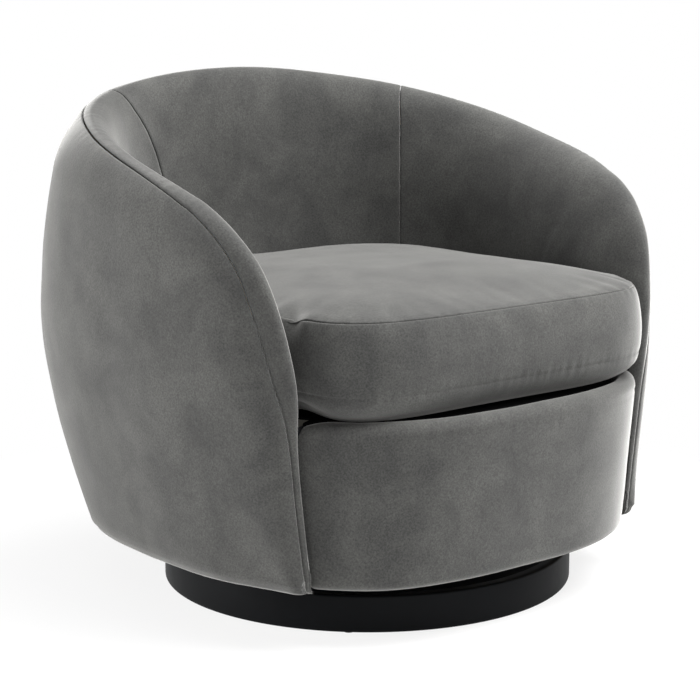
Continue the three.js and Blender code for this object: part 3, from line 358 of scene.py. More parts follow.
def settle(points, size, seed):
    """Soft unevenness of stuffed cloth, from -1 to 1, at points in mm and with a size in mm."""
    shift = Vector((seed * 17.3, seed * -9.1, seed * 4.7))
    flat = (points.reshape(-1, 3) / size).tolist()
    values = [noise.noise(Vector(p) + shift) for p in flat]
    return np.array(values).reshape(points.shape[:-1])


# Barrel shell
CORNER = share_at_height(HEM + HEM_RADIUS * 1.5)
SPLIT = {side: share_at_angle(angle) for side, angle in SPLIT_ANGLE.items()}
COLUMN = 4.6
LIP_STEPS = np.array([0, 0.3, 0.8, 1.5, SEAM_LIP])
SETTLE_DEPTH = 1.1


def dense_shares(start, end):
    """Shares along the rim, closer where it bends."""
    fine = np.linspace(start, end, 4000)
    girth = np.interp(fine, SHARES, PATH[:, 0])
    height = np.interp(fine, SHARES, PATH[:, 1])
    heading = np.unwrap(np.arctan2(np.gradient(height), np.gradient(girth)))
    run = np.diff(fine) * RIM_LENGTH + np.abs(np.diff(heading)) * 120
    weight = np.concatenate([[0], np.cumsum(run)])
    return np.interp(np.linspace(0, weight[-1], int(weight[-1] / COLUMN) + 1), weight, fine)


def lipped(start, end, split):
    """Shares between two places, with the fine steps of a turned edge at the arm and back seam."""
    shares = dense_shares(start, end)
    near = np.abs(shares - split) * RIM_LENGTH < SEAM_HALF + SEAM_LIP + COLUMN / 2
    sign = 1 if shares.mean() > split else -1
    lip = split + sign * (SEAM_HALF + LIP_STEPS) / RIM_LENGTH
    return np.sort(np.concatenate([shares[~near], lip]))


ARM_LINES = {side: [Line(s) for s in lipped(CORNER, split, split)] for side, split in SPLIT.items()}
BACK_LINES = {side: [Line(s) for s in lipped(split, 1.0, split)] for side, split in SPLIT.items()}
SPLIT_LINE = {side: Line(split) for side, split in SPLIT.items()}


def seam_turn(line, distance, side):
    """How far a line of the inside turns, so that the arm seam runs as SPLIT_RUN says."""
    away = min(abs(line.share - SPLIT[side]) * RIM_LENGTH / SPLIT_SPREAD, 1)
    z = line.at(distance)[1]
    own_line = SPLIT_LINE[side].points
    own = np.interp(-z, -own_line[:, 1], own_line[:, 0] / GIRTH)
    run = np.array(SPLIT_RUN[side][::-1])
    wanted = np.radians(np.interp(z, run[:, 0], run[:, 1]))
    fade = np.sin(np.clip((run[-1, 0] + 12 - z) / 30, 0, 1) * math.pi / 2) ** 2
    return (wanted - own) * math.cos(math.pi / 2 * away) ** 2 * fade


def outer_rows(line, side):
    """Points of the outside cover down one line: from the seam to the turn under the board."""
    low = line.total - HEM_RADIUS
    seam = line.seam + SEAM_HALF
    lip = LIP_STEPS * min(1, (low - seam) / (4 * SEAM_LIP))
    first = seam + lip[-1]
    roll_end = max(min(line.outer_depth, low * 0.7), first + (low - first) * 0.12)
    roll = line.roll_steps(line.outer_depth, first, roll_end, 12)
    body = np.linspace(roll_end, low, 34)[1:]
    distances = np.concatenate([seam + lip[:-1], roll, body])
    rows = line.outer(distances, turned_edge(distances - seam, SEAM_LIP), side)
    angle = line.points[-1, 0] / GIRTH
    reach = float(outer_reach(angle, HEM) + line.bulge(low)) - HEM_RADIUS
    turn = np.radians([72, 54, 36, 18, 0])
    bend_z = HEM + HEM_RADIUS * (1 - np.cos(turn))
    bend = barrel(np.full(5, side * angle), reach + HEM_RADIUS * np.sin(turn), bend_z)
    under = reach - np.array([10, HEM_TURN - HEM_RADIUS])
    hem = barrel(np.full(2, side * angle), under, np.full(2, HEM))
    return np.concatenate([rows, bend, hem]), np.concatenate([distances - seam, np.full(7, low)])


def inner_rows(line, side):
    """Points of an inside cover down one line: from the outer seam over the rim to the deck."""
    seam = line.seam - SEAM_HALF
    nose = float(np.clip((NOSE_HIGH - line.points[0, 1]) / (NOSE_HIGH - NOSE_LOW), 0, 1))
    end = max(line.inside_end(), NOSE_TURN * nose)
    roll_end = min(line.inner_depth, end * 0.7)
    lip = LIP_STEPS * min(1, seam * 0.6 / SEAM_LIP)
    over = np.concatenate([seam - lip, np.linspace(seam - lip[-1], 0, 6)[1:]])
    first = line.outer(over, turned_edge(seam - over, SEAM_LIP), side)
    steps = line.roll_steps(line.inner_depth, 0, roll_end, 22)[1:]
    down = np.concatenate([steps, np.linspace(roll_end, end, 40)[1:]])
    second = line.inner(down, 0, side, seam_turn(line, down, side))
    if nose:
        second += (line.level(down, side) - second) * nose
    return np.concatenate([first, second]), np.concatenate([seam - over, seam + down])


def along_rim(lines):
    """Distance along the rim of each line, the left side counted below zero."""
    return np.array([line.share * RIM_LENGTH * side for line, side in lines])[:, None]


left_arm = [(line, -1) for line in ARM_LINES[-1]]
right_arm = [(line, 1) for line in ARM_LINES[1][::-1]]
back = [(line, -1) for line in BACK_LINES[-1]] + [(line, 1) for line in BACK_LINES[1][::-1]][1:]
outside_lines = left_arm + back[LIP_STEPS.size - 1:1 - LIP_STEPS.size] + right_arm


FOOT_TURNS = np.radians([75, 60, 45, 30, 15, 0])


def round_hem(points):
    """The nose's end, points by coordinates, carried on round the hem: one copy for each turn."""
    flat = points[..., :2]
    radial = flat / np.linalg.norm(flat, axis=-1, keepdims=True)
    copies = []
    for turn in FOOT_TURNS:
        copy = points.copy()
        copy[..., :2] -= radial * (HEM_RADIUS * (1 - math.sin(turn)))
        copy[..., 2] = np.minimum(copy[..., 2], HEM + HEM_RADIUS * (1 - math.cos(turn)))
        copies.append(copy)
    return copies


def hem_foot(grid, away, lower):
    """Adds the nose's foot to an inside arm: its end carried on round the hem, column by column."""
    columns = round_hem(grid[lower])
    columns = np.array(columns if lower else columns[::-1])
    beside = np.repeat(away[lower][None], len(columns), axis=0)
    if lower:
        return np.concatenate([grid, columns]), np.concatenate([away, beside])
    return np.concatenate([columns, grid]), np.concatenate([beside, away])


def seam_relief(grid, away, along, inside_out, splits):
    """Gathers beside the seams of a cover, its soft unevenness, and the turned edges of its side seams."""
    normals = face_normals(grid, inside_out)
    lift = puckers(along, away)
    soft = np.clip(away / 60, 0, 1)
    lift += SETTLE_DEPTH * soft * settle(grid, 95, 3) + 0.4 * soft * settle(grid, 38, 5)
    for end in splits:
        order = slice(None) if end == 0 else slice(None, None, -1)
        rank = grid[order]
        beside = np.linalg.norm(rank - rank[0], axis=-1)
        run = run_lengths(rank[0])
        lift[order] += puckers(run[None, :], beside) - turned_edge(beside, SEAM_LIP)
    return grid + normals * lift[..., None]


def build_cover(name, lines, rows, inside_out, splits, nodes):
    """One velvet piece of the shell, from its lines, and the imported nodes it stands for."""
    made = [rows(line, side) for line, side in lines]
    grid = np.array([points for points, away in made])
    away = np.array([distance for points, distance in made])
    along = along_rim(lines)
    if inside_out and len(splits) == 1:
        lower = 0 if splits[0] else -1
        grid, away = hem_foot(grid, away, lower)
        ends = np.full((len(grid) - len(along), 1), along[lower, 0])
        along = np.concatenate([along, ends] if lower else [ends, along])
    piece = cover(name, seam_relief(grid, away, along, inside_out, splits), inside_out)
    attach(piece, "chair")
    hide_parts(*nodes)
    return piece


def foot_gusset(name, line, side):
    """The outside cover's front end, folded under the nose to meet its foot."""
    own = outer_rows(line, side)[0]
    tip = inner_rows(line, side)[0][0]
    foot = np.array([tip, *round_hem(tip)])
    own_run, foot_run = run_lengths(own), run_lengths(foot)
    part = own_run / own_run[-1] * foot_run[-1]
    foot = np.stack([np.interp(part, foot_run, foot[:, k]) for k in range(3)], 1)
    grid = np.array([foot + (own - foot) * share for share in np.linspace(0, 1, 5)])
    piece = cover(name, grid, side > 0, LINING)
    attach(piece, "chair")
    return piece


outside = build_cover("outside_cover_velvet", outside_lines, outer_rows, False, (), ("outside_cover",))
gussets = [
    foot_gusset("foot_gusset_left", *left_arm[0]),
    foot_gusset("foot_gusset_right", *right_arm[-1]),
]
inside_back = build_cover(
    "inside_back_velvet", back, inner_rows, True, (0, 1), ("inside_back_cover", "back_foam")
)
arm_left = build_cover(
    "inside_arm_velvet_left", left_arm, inner_rows, True, (1,), ("inside_arm_cover_left", "arm_foam_left")
)
arm_right = build_cover(
    "inside_arm_velvet_right", right_arm, inner_rows, True, (0,), ("inside_arm_cover_right", "arm_foam_right")
)


# Front rail
RAIL_CLEARANCE = 2.2
RAIL_END_RADIUS = 8.0
RAIL_CORNER = 32.0
RAIL_END_LEAN = 0.42
RAIL_SEAM = 15.0
RAIL_RETURN = [4, 10, 18, 28, 40]
RAIL_CORNER_SHARE = 0.9
RAIL_SQUARE = 2.9
RAIL_HALF = 323.5
RAIL_REACH = 324.0
RAIL_FLARE = 14.0
RAIL_FRONT_Y = -3.4
# Behind the top edge the cover goes down under the cushion: distance behind the face, and depth below the top
RAIL_BEHIND = [(20, 1), (24, 4), (28, 9), (32, 16)]


def rail_front(x, z):
    """Place of the rail's face along y: a gently bowed front that leans out towards its top."""
    flare = RAIL_FLARE * (z - HEM) / 200
    half, reach = RAIL_HALF + flare, RAIL_REACH + flare
    return RAIL_FRONT_Y - reach * (1 - (np.abs(x) / half) ** RAIL_SQUARE) ** (1 / RAIL_SQUARE)


NOSE_HEIGHTS = np.array([78, 95, 120, 150, 190, 230, 270, 310])
NOSE_TIPS = np.array([Line(share_at_height(z)).outer(np.zeros(1))[0, 0] for z in NOSE_HEIGHTS])


def rail_end(z):
    """Half length of the rail at a height: it stops just short of the arm's nose."""
    return float(np.interp(z, NOSE_HEIGHTS, NOSE_TIPS)) - RAIL_CLEARANCE


def rail_point(x, z, inset):
    """A point of the rail's face at a place along it, moved in square to the face."""
    step = 0.5
    y = rail_front(x, z)
    slope = (rail_front(x + step, z) - rail_front(x - step, z)) / (2 * step)
    normal = np.array([-slope, 1.0]) / math.hypot(slope, 1)
    return np.array([x + normal[0] * inset, y + normal[1] * inset])


def rail_rows(share, behind=0.0):
    """One section of the rail cover, from its turn under the board to behind the seat."""
    length = rail_end(HEM + 10)
    from_end = np.array([length * (1 - abs(share))])
    sink = turned_edge(from_end, RAIL_END_RADIUS)[0] + behind
    top = RAIL_TOP - turned_edge(from_end, RAIL_CORNER)[0] * RAIL_CORNER_SHARE
    rows, away = [], []

    def place(z, inset, level=None):
        x, y = rail_point(share * rail_end(z), z, inset + sink)
        rows.append([x - share * behind * RAIL_END_LEAN, y, z if level is None else level])
        away.append(top - RAIL_EDGE - z - RAIL_SEAM + 10 if level is None else 60)

    for inward in (HEM_TURN, 26, 18, HEM_RADIUS):
        place(HEM, inward)
    for turn in np.radians([18, 36, 54, 72]):
        place(HEM + HEM_RADIUS * (1 - math.cos(turn)), HEM_RADIUS * (1 - math.sin(turn)))
    for z in np.linspace(HEM + HEM_RADIUS, top - RAIL_EDGE, 40):
        place(z, 0)
    for turn in np.radians([15, 30, 45, 60, 75, 90]):
        place(top - RAIL_EDGE, RAIL_EDGE * (1 - math.cos(turn)), top - RAIL_EDGE + RAIL_EDGE * math.sin(turn))
    for inward, dip in RAIL_BEHIND:
        place(top - RAIL_EDGE, inward, top - dip)
    return rows, away


rail_shares = np.linspace(-1, 1, 131)
edge_shares = 1 - np.array([0, 0.15, 0.5, 1.1, 2.0, 3.2, 4.8, 6.8, 9, 12, 16, 20, 25]) / 275
middle = rail_shares[np.abs(rail_shares) < edge_shares[-1] - 0.01]
rail_shares = np.concatenate([-edge_shares, middle, edge_shares[::-1]])
rail_made = [rail_rows(-1, inward) for inward in RAIL_RETURN[::-1]]
rail_made += [rail_rows(share) for share in rail_shares]
rail_made += [rail_rows(1, inward) for inward in RAIL_RETURN]
rail_grid = np.array([rows for rows, away in rail_made])
rail_away = np.array([away for rows, away in rail_made])
rail_along = rail_grid[:, :1, 0]
rail_lift = puckers(rail_along, np.abs(rail_away)) - 0.9 * np.exp(-(rail_away / 2.2) ** 2)
rail_lift = rail_lift + SETTLE_DEPTH * 0.8 * settle(rail_grid, 80, 7)
rail = cover("rail_velvet", rail_grid + face_normals(rail_grid) * rail_lift[..., None])
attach(rail, "chair")
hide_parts("rail_cover", "rail_foam")


# Black lining behind the rail, over the edge of the deck and in the crease beside each nose: it covers the
# frame there, and it is black as painted shade for these gaps. Its places are by distance behind the rail's
# face and height, and in the crease by distance out of the nose's tip and behind it
DECKING = [(29, 276), (31, 279), (32.5, 284), (33.5, 288), (36, 288.8), (45, 288.8), (60, 288.8), (80, 288.8)]
CREASE_DEPTHS = [(3, 17), (-6, 15), (-15, 15), (-24, 19)]


def decking_point(share, inset, z):
    x, y = rail_point(share * rail_end(RAIL_TOP - RAIL_EDGE), RAIL_TOP - RAIL_EDGE, inset)
    return [x, y, z]


def crease_point(side, across, behind, z):
    tip = Line(share_at_height(z)).outer(np.zeros(1), 0, side)[0]
    return [tip[0] + side * across, tip[1] + behind, z]


decking_shares = np.linspace(-0.985, 0.985, 61)
decking_grid = np.array([[decking_point(share, *spot) for spot in DECKING] for share in decking_shares])
# Painted shade: a black sheet in the gap under the cushion's front edge, which also covers the deck's edge
deck_shade_lining = cover("deck_edge_shade_lining", decking_grid, thickness=LINING)
crease_heights = np.linspace(HEM + 1, RAIL_TOP - 6, 16)
crease_shade_linings = []
for name, side in (("left", -1), ("right", 1)):
    crease_grid = [[crease_point(side, *depth, z) for z in crease_heights] for depth in CREASE_DEPTHS[::side]]
    # Painted shade: black sheets in the creases between each nose and the rail ends, which also cover the
    # frame there
    crease_shade_linings.append(cover(f"crease_shade_lining_{name}", np.array(crease_grid), side > 0, LINING))
for lining in (deck_shade_lining, *crease_shade_linings):
    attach(lining, "chair")


# Seat cushion
CUSHION_Y = -2.6
TOP_SEAM = 424.0
BOTTOM_SEAM = 330.0
UNDERSIDE = 289.6
UNDER_ROUND = 60.0
TOP_CROWN = 22.0
BORDER_BULGE = [(0, 0), (0.06, 0.2), (0.2, 0.56), (0.4, 0.87), (0.6, 1), (0.8, 0.97), (1, 0.8)]
FRONT_BULGE = 14.0
SIDE_BULGE = 8.0
STEPS = 80
GROWTH = 0.85
BORDER_ROWS = 14
CROWN_POWER = 4.6
SWELL_CAP = 14.0
CUSHION_HALF = 294.5
CUSHION_FRONT = 303.0
CUSHION_BACK = 294.0
CUSHION_FRONT_SQUARE = 5.4
CUSHION_BACK_ROUND = 2.7
# The tucks of the top seam at the front corners: their angle in radians, depth and the fold beside them
TUCK_CORNER = 0.99
TUCK_DEPTH = 8.0
TUCK_FOLD = 2.2
# The cushion's lower front corners: their angle in radians, and how far their filling draws back
LOW_CORNER = 0.98
LOW_CORNER_DRAW = 14.0


def cushion_reach(angle):
    """Reach of the cushion's seams at an angle from straight ahead."""
    return superellipse(
        angle, CUSHION_HALF, CUSHION_FRONT, CUSHION_BACK, CUSHION_FRONT_SQUARE, CUSHION_BACK_ROUND
    )


def cushion_point(angle, share, z, bulge=0.0):
    reach = cushion_reach(np.array(angle)) * share + bulge
    return [float(reach * math.sin(angle)), CUSHION_Y - float(reach * math.cos(angle)), z]


def border_bulge(angle):
    """How far the border stands out: more at the front, where nothing holds it."""
    return SIDE_BULGE + (FRONT_BULGE - SIDE_BULGE) * np.clip((np.cos(angle) - 0.3) / 0.4, 0, 1)


def cushion_cloth(crown, growth):
    """The cushion's top, border and bottom sewn into one closed cloth, and which points are sewn or rest."""
    points, faces, held = [], [], []
    square = range(STEPS + 1)
    rim = [(i, 0) for i in range(STEPS)] + [(STEPS, j) for j in range(STEPS)]
    rim += [(i, STEPS) for i in range(STEPS, 0, -1)] + [(0, j) for j in range(STEPS, 0, -1)]
    tables = []
    for upper in (True, False):
        table = {}
        for i in square:
            for j in square:
                u, v = 2 * i / STEPS - 1, 2 * j / STEPS - 1
                ring = max(abs(u), abs(v))
                share = 1 - (1 - ring) ** 1.5
                angle = math.atan2(u, v)
                if upper:
                    z = TOP_SEAM + crown * (1 - share**CROWN_POWER) ** 0.65
                else:
                    inward = min((1 - share) * float(cushion_reach(np.array(angle))) / UNDER_ROUND, 1)
                    z = BOTTOM_SEAM - (BOTTOM_SEAM - UNDERSIDE) * math.sqrt(1 - (1 - inward) ** 2)
                table[i, j] = len(points)
                if ring > 1 - 1e-6 or (not upper and inward > 0.8):
                    held.append(len(points))
                bulge = 0 if upper else BORDER_BULGE[-1][1] * share**8 * growth * border_bulge(angle)
                points.append(cushion_point(angle, share, z, bulge))
        for i in square[:-1]:
            for j in square[:-1]:
                faces.append((table[i, j], table[i + 1, j], table[i + 1, j + 1], table[i, j + 1]))
        tables.append(table)
    loops = [[tables[0][spot] for spot in rim]]
    for row in range(1, BORDER_ROWS):
        part = (1 - math.cos(math.pi * row / BORDER_ROWS)) / 2
        loop = []
        for i, j in rim:
            angle = math.atan2(2 * i / STEPS - 1, 2 * j / STEPS - 1)
            loop.append(len(points))
            height = TOP_SEAM + (BOTTOM_SEAM - TOP_SEAM) * part
            out = growth * border_bulge(angle) * float(np.interp(part, *zip(*BORDER_BULGE)))
            points.append(cushion_point(angle, 1, height, out))
        loops.append(loop)
    loops.append([tables[1][spot] for spot in rim])
    for upper, lower in zip(loops, loops[1:]):
        for k in range(len(rim)):
            n = (k + 1) % len(rim)
            faces.append((upper[k], upper[n], lower[n], lower[k]))
    return points, faces, held


def face_outward(obj):
    """Turns the faces of a closed cloth outward."""
    shape = bmesh.new()
    shape.from_mesh(obj.data)
    bmesh.ops.recalc_face_normals(shape, faces=shape.faces[:])
    shape.to_mesh(obj.data)
    shape.free()


def coordinates(mesh, kind="co"):
    """The points of a mesh, or their normals, as rows of an array."""
    flat = np.empty(len(mesh.vertices) * 3)
    mesh.vertices.foreach_get(kind, flat)
    return flat.reshape(-1, 3)


def swell(obj, held, cap):
    """Fills a closed cloth: pressure pushes it out, its sewn edges stay, and no point goes past the cap."""
    group = obj.vertex_groups.new(name="sewn")
    group.add(held, 1.0, "REPLACE")
    cloth = obj.modifiers.new("stuffing", "CLOTH")
    cloth.settings.use_pressure = True
    cloth.settings.uniform_pressure_force = 4
    cloth.settings.effector_weights.gravity = 0
    cloth.settings.vertex_group_mass = "sewn"
    cloth.collision_settings.use_collision = False
    for moment in range(1, 21):
        bpy.context.scene.frame_set(moment)
    start = coordinates(obj.data)
    full = coordinates(obj.evaluated_get(bpy.context.evaluated_depsgraph_get()).data)
    obj.modifiers.clear()
    obj.vertex_groups.clear()
    bpy.context.scene.frame_set(1)
    move = full - start
    size = np.linalg.norm(move, axis=1, keepdims=True)
    move *= np.minimum(1, cap * MM / np.maximum(size, 1e-9))
    obj.data.vertices.foreach_set("co", (start + move).ravel())
    obj.data.update()


def subdivide(obj):
    """Rounds a mesh by one level of subdivision, applied."""
    obj.modifiers.new("rounding", "SUBSURF").levels = 1
    mesh = bpy.data.meshes.new_from_object(obj.evaluated_get(bpy.context.evaluated_depsgraph_get()))
    old = obj.data
    obj.modifiers.clear()
    obj.data = mesh
    bpy.data.meshes.remove(old)


def sew(obj):
    """Sinks the cushion's two seams, gathers the cloth beside them and tucks its front corners."""
    points = coordinates(obj.data) / MM
    points[:, 1] -= AXIS_Y + CUSHION_Y
    normals = coordinates(obj.data, "normal")
    angle = np.arctan2(points[:, 0], -points[:, 1])
    reach = np.hypot(points[:, 0], points[:, 1])
    turn = np.linspace(-math.pi, math.pi, 2001)
    edge = np.stack([cushion_reach(turn) * np.sin(turn), cushion_reach(turn) * np.cos(turn)], 1)
    lengths = run_lengths(edge)
    along = np.interp(angle, turn, lengths)
    past_edge = reach - cushion_reach(angle)
    lift = np.zeros(len(points))
    seam_out = BORDER_BULGE[-1][1] * GROWTH * border_bulge(angle)
    top_seam, bottom_seam = (TOP_SEAM, 0, 0, 3.0, 1.1), (BOTTOM_SEAM, seam_out, 130, 0.9, 2.2)
    for height, out, shift, depth, gather in (top_seam, bottom_seam):
        away = np.hypot(past_edge - out, points[:, 2] - height)
        lift += gather * puckers(along + shift, away) - depth * np.exp(-(away / 1.5) ** 2)
        lift -= 0.5 * depth * np.exp(-(away / 8) ** 2)
    for corner in (-TUCK_CORNER, TUCK_CORNER):
        beside = along - np.interp(corner, turn, lengths)
        away = np.hypot(past_edge, points[:, 2] - TOP_SEAM)
        lift -= TUCK_DEPTH * np.exp(-(beside / 17) ** 2 - (away / 24) ** 2)
        lift += TUCK_FOLD * np.exp(-((np.abs(beside) - 28) / 10) ** 2 - (away / 30) ** 2)
    for corner in (-LOW_CORNER, LOW_CORNER):
        beside = along - np.interp(corner, turn, lengths)
        below = np.clip((BOTTOM_SEAM + 25 - points[:, 2]) / 50, 0, 1)
        lift -= LOW_CORNER_DRAW * below * np.exp(-(beside / 42) ** 2 - (past_edge / 60) ** 2)
    soft = np.minimum(np.abs(points[:, 2] - TOP_SEAM), 30) / 30 * (points[:, 2] > BOTTOM_SEAM)
    lift += soft * (1.6 * settle(points, 120, 11) + 0.6 * settle(points, 45, 12))
    moved = coordinates(obj.data) + normals * lift[:, None] * MM
    moved[:, 2] = np.maximum(moved[:, 2], (UNDERSIDE - 0.6) * MM)
    obj.data.vertices.foreach_set("co", moved.ravel())
    obj.data.update()


cloth_points, cloth_faces, cloth_held = cushion_cloth(TOP_CROWN * GROWTH, GROWTH)
cushion = link("seat_cushion_velvet", cloth_points, cloth_faces)
face_outward(cushion)
swell(cushion, cloth_held, SWELL_CAP)
subdivide(cushion)
sew(cushion)
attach(cushion, "chair")
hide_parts("cushion_case", "cushion_core")


# Plinth
def turned(name, profile, segments=256):
    """A piece turned about the swivel axis from a closed profile of radius and height."""
    points, faces = [], []
    for s in range(segments):
        a = 2 * math.pi * s / segments
        points += [(r * math.cos(a), r * math.sin(a), z) for r, z in profile]
    n = len(profile)
    for s in range(segments):
        t = (s + 1) % segments
        for i in range(n):
            j = (i + 1) % n
            faces.append((s * n + i, t * n + i, t * n + j, s * n + j))
    return link(name, points, faces)


def rounded_ring(outer, inner, bottom, top, radius):
    """Profile of a plain ring whose two outer edges are rounded."""
    steps = np.radians(np.linspace(0, 90, 7))
    out, low, high = outer - radius, bottom + radius, top - radius
    lower = [(out + radius * math.sin(a), low - radius * math.cos(a)) for a in steps]
    upper = [(out + radius * math.cos(a), high + radius * math.sin(a)) for a in steps]
    return [(inner, bottom), *lower, *upper, (inner, top)]


plinth = turned("plinth_ring_lacquered", rounded_ring(292, 276, 0.4, 50, 3))
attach(plinth, "base")
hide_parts("plinth_ring")


# Finishes
def linear(hex_colour):
    """An sRGB hex colour as the linear values that a shader takes."""
    value = hex_colour.lstrip("#")
    channels = [int(value[i:i + 2], 16) / 255 for i in (0, 2, 4)]
    return [c / 12.92 if c <= 0.04045 else ((c + 0.055) / 1.055) ** 2.4 for c in channels] + [1.0]


def per_m(size):
    """A pattern's scale from the size of its marks in mm."""
    return 1000 / size


def add(owner, kind, settings=(), links=()):
    """Adds one node: its settings, its sockets' values by name or number, and its links."""
    node = owner.node_tree.nodes.new(kind)
    for key, value in dict(settings).items():
        if isinstance(key, str) and key not in node.inputs:
            setattr(node, key, value)
        else:
            node.inputs[key].default_value = value
    for key, (source, socket) in dict(links).items():
        owner.node_tree.links.new(source.outputs[socket], node.inputs[key])
    return node


def new_material(name):
    material = bpy.data.materials.new(name)
    material.use_nodes = True
    material.node_tree.nodes.clear()
    return material


def cut_velvet():
    """Cut polyester velvet: a short dense pile, dark where it faces the eye and light where it turns away,
    with soft patches where it lies over. The pile is drawn at 2.4 mm: 0.3 mm is too fine to show."""
    material = new_material("grey_cut_velvet")
    where = add(material, "ShaderNodeTexCoord")
    lay = add(material, "ShaderNodeTexNoise",
              {"Scale": per_m(75), "Detail": 3.0, "Roughness": 0.6, "Distortion": 0.4},
              {"Vector": (where, "Object")})
    pile = add(material, "ShaderNodeTexNoise", {"Scale": per_m(2.4), "Detail": 2.0, "Roughness": 0.7},
               {"Vector": (where, "Object")})
    laid = add(material, "ShaderNodeMapRange", {"From Min": 0.34, "From Max": 0.66},
               {"Value": (lay, "Fac")})
    tufts = add(material, "ShaderNodeMapRange", {"From Min": 0.3, "From Max": 0.7},
                {"Value": (pile, "Fac")})
    patches = add(material, "ShaderNodeMix",
                  {"data_type": "RGBA", 6: linear(VELVET_DARK), 7: linear(VELVET_LIGHT)},
                  {0: (laid, "Result")})
    flecks = add(material, "ShaderNodeMix",
                 {"data_type": "RGBA", 6: linear("#bebebe"), 7: linear("#ffffff")}, {0: (tufts, "Result")})
    colour = add(material, "ShaderNodeMix", {"data_type": "RGBA", "blend_type": "MULTIPLY", 0: 1.0},
                 {6: (patches, 2), 7: (flecks, 2)})
    brushed = add(material, "ShaderNodeBump", {"Strength": 0.2, "Distance": 0.0016},
                  {"Height": (lay, "Fac")})
    relief = add(material, "ShaderNodeBump", {"Strength": 0.35, "Distance": 0.0005},
                 {"Height": (pile, "Fac"), "Normal": (brushed, "Normal")})
    shader = add(material, "ShaderNodeBsdfPrincipled",
                 {"Roughness": 0.9, "Specular IOR Level": 0.15, "Sheen Weight": VELVET_SHEEN,
                  "Sheen Roughness": VELVET_SHEEN_ROUGHNESS, "Sheen Tint": linear("#f2f1ee")},
                 {"Base Color": (colour, 2), "Normal": (relief, "Normal")})
    add(material, "ShaderNodeOutputMaterial", {}, {"Surface": (shader, "BSDF")})
    return material


def satin_lacquer():
    """Sprayed satin lacquer on bent board: near black, faintly blue, with a soft orange-peel in its gloss."""
    material = new_material("black_satin_lacquer")
    where = add(material, "ShaderNodeTexCoord")
    peel = add(material, "ShaderNodeTexNoise", {"Scale": per_m(4), "Detail": 3.0},
               {"Vector": (where, "Object")})
    scuffs = add(material, "ShaderNodeTexNoise", {"Scale": per_m(26), "Detail": 5.0, "Roughness": 0.7},
                 {"Vector": (where, "Object")})
    colour = add(material, "ShaderNodeMix",
                 {"data_type": "RGBA", 6: linear("#08090a"), 7: linear("#0e0f11")}, {0: (scuffs, "Fac")})
    gloss = add(material, "ShaderNodeMapRange", {"To Min": 0.42, "To Max": 0.56},
                {"Value": (scuffs, "Fac")})
    relief = add(material, "ShaderNodeBump", {"Strength": 0.3, "Distance": 0.00005},
                 {"Height": (peel, "Fac")})
    shader = add(material, "ShaderNodeBsdfPrincipled", {"IOR": 1.5, "Specular IOR Level": 0.06},
                 {"Base Color": (colour, 2), "Roughness": (gloss, "Result"), "Normal": (relief, "Normal")})
    add(material, "ShaderNodeOutputMaterial", {}, {"Surface": (shader, "BSDF")})
    return material


def moulded_nylon():
    """Injection-moulded nylon: dark, with the fine spark-eroded grain of its mould."""
    material = new_material("black_moulded_nylon")
    where = add(material, "ShaderNodeTexCoord")
    grain = add(material, "ShaderNodeTexNoise", {"Scale": per_m(1.2), "Detail": 2.0},
                {"Vector": (where, "Object")})
    colour = add(material, "ShaderNodeMix",
                 {"data_type": "RGBA", 6: linear("#202021"), 7: linear("#2d2d2e")}, {0: (grain, "Fac")})
    relief = add(material, "ShaderNodeBump", {"Strength": 0.4, "Distance": 0.0001},
                 {"Height": (grain, "Fac")})
    shader = add(material, "ShaderNodeBsdfPrincipled", {"Roughness": 0.5, "IOR": 1.53},
                 {"Base Color": (colour, 2), "Normal": (relief, "Normal")})
    add(material, "ShaderNodeOutputMaterial", {}, {"Surface": (shader, "BSDF")})
    return material


def zinc_plate():
    """Zinc-plated steel: bright grey with the cloudy spangle of the plating bath."""
    material = new_material("zinc_plated_steel")
    where = add(material, "ShaderNodeTexCoord")
    cells = add(material, "ShaderNodeTexVoronoi", {"Scale": per_m(5)}, {"Vector": (where, "Object")})
    colour = add(material, "ShaderNodeMix",
                 {"data_type": "RGBA", 6: linear("#9a9da0"), 7: linear("#bcbfc2")}, {0: (cells, "Distance")})
    gloss = add(material, "ShaderNodeMapRange", {"To Min": 0.3, "To Max": 0.46},
                {"Value": (cells, "Distance")})
    shader = add(material, "ShaderNodeBsdfPrincipled", {"Metallic": 1.0},
                 {"Base Color": (colour, 2), "Roughness": (gloss, "Result")})
    add(material, "ShaderNodeOutputMaterial", {}, {"Surface": (shader, "BSDF")})
    return material


def tempered_spring():
    """Oil-tempered spring wire: dark blue-grey steel with drawn lines along it."""
    material = new_material("oil_tempered_steel")
    where = add(material, "ShaderNodeTexCoord")
    drawn = add(material, "ShaderNodeTexNoise", {"Scale": per_m(2.5), "Detail": 4.0},
                {"Vector": (where, "Object")})
    colour = add(material, "ShaderNodeMix",
                 {"data_type": "RGBA", 6: linear("#3a3c3f"), 7: linear("#5b5d61")}, {0: (drawn, "Fac")})
    gloss = add(material, "ShaderNodeMapRange", {"To Min": 0.34, "To Max": 0.52},
                {"Value": (drawn, "Fac")})
    shader = add(material, "ShaderNodeBsdfPrincipled", {"Metallic": 1.0},
                 {"Base Color": (colour, 2), "Roughness": (gloss, "Result")})
    add(material, "ShaderNodeOutputMaterial", {}, {"Surface": (shader, "BSDF")})
    return material


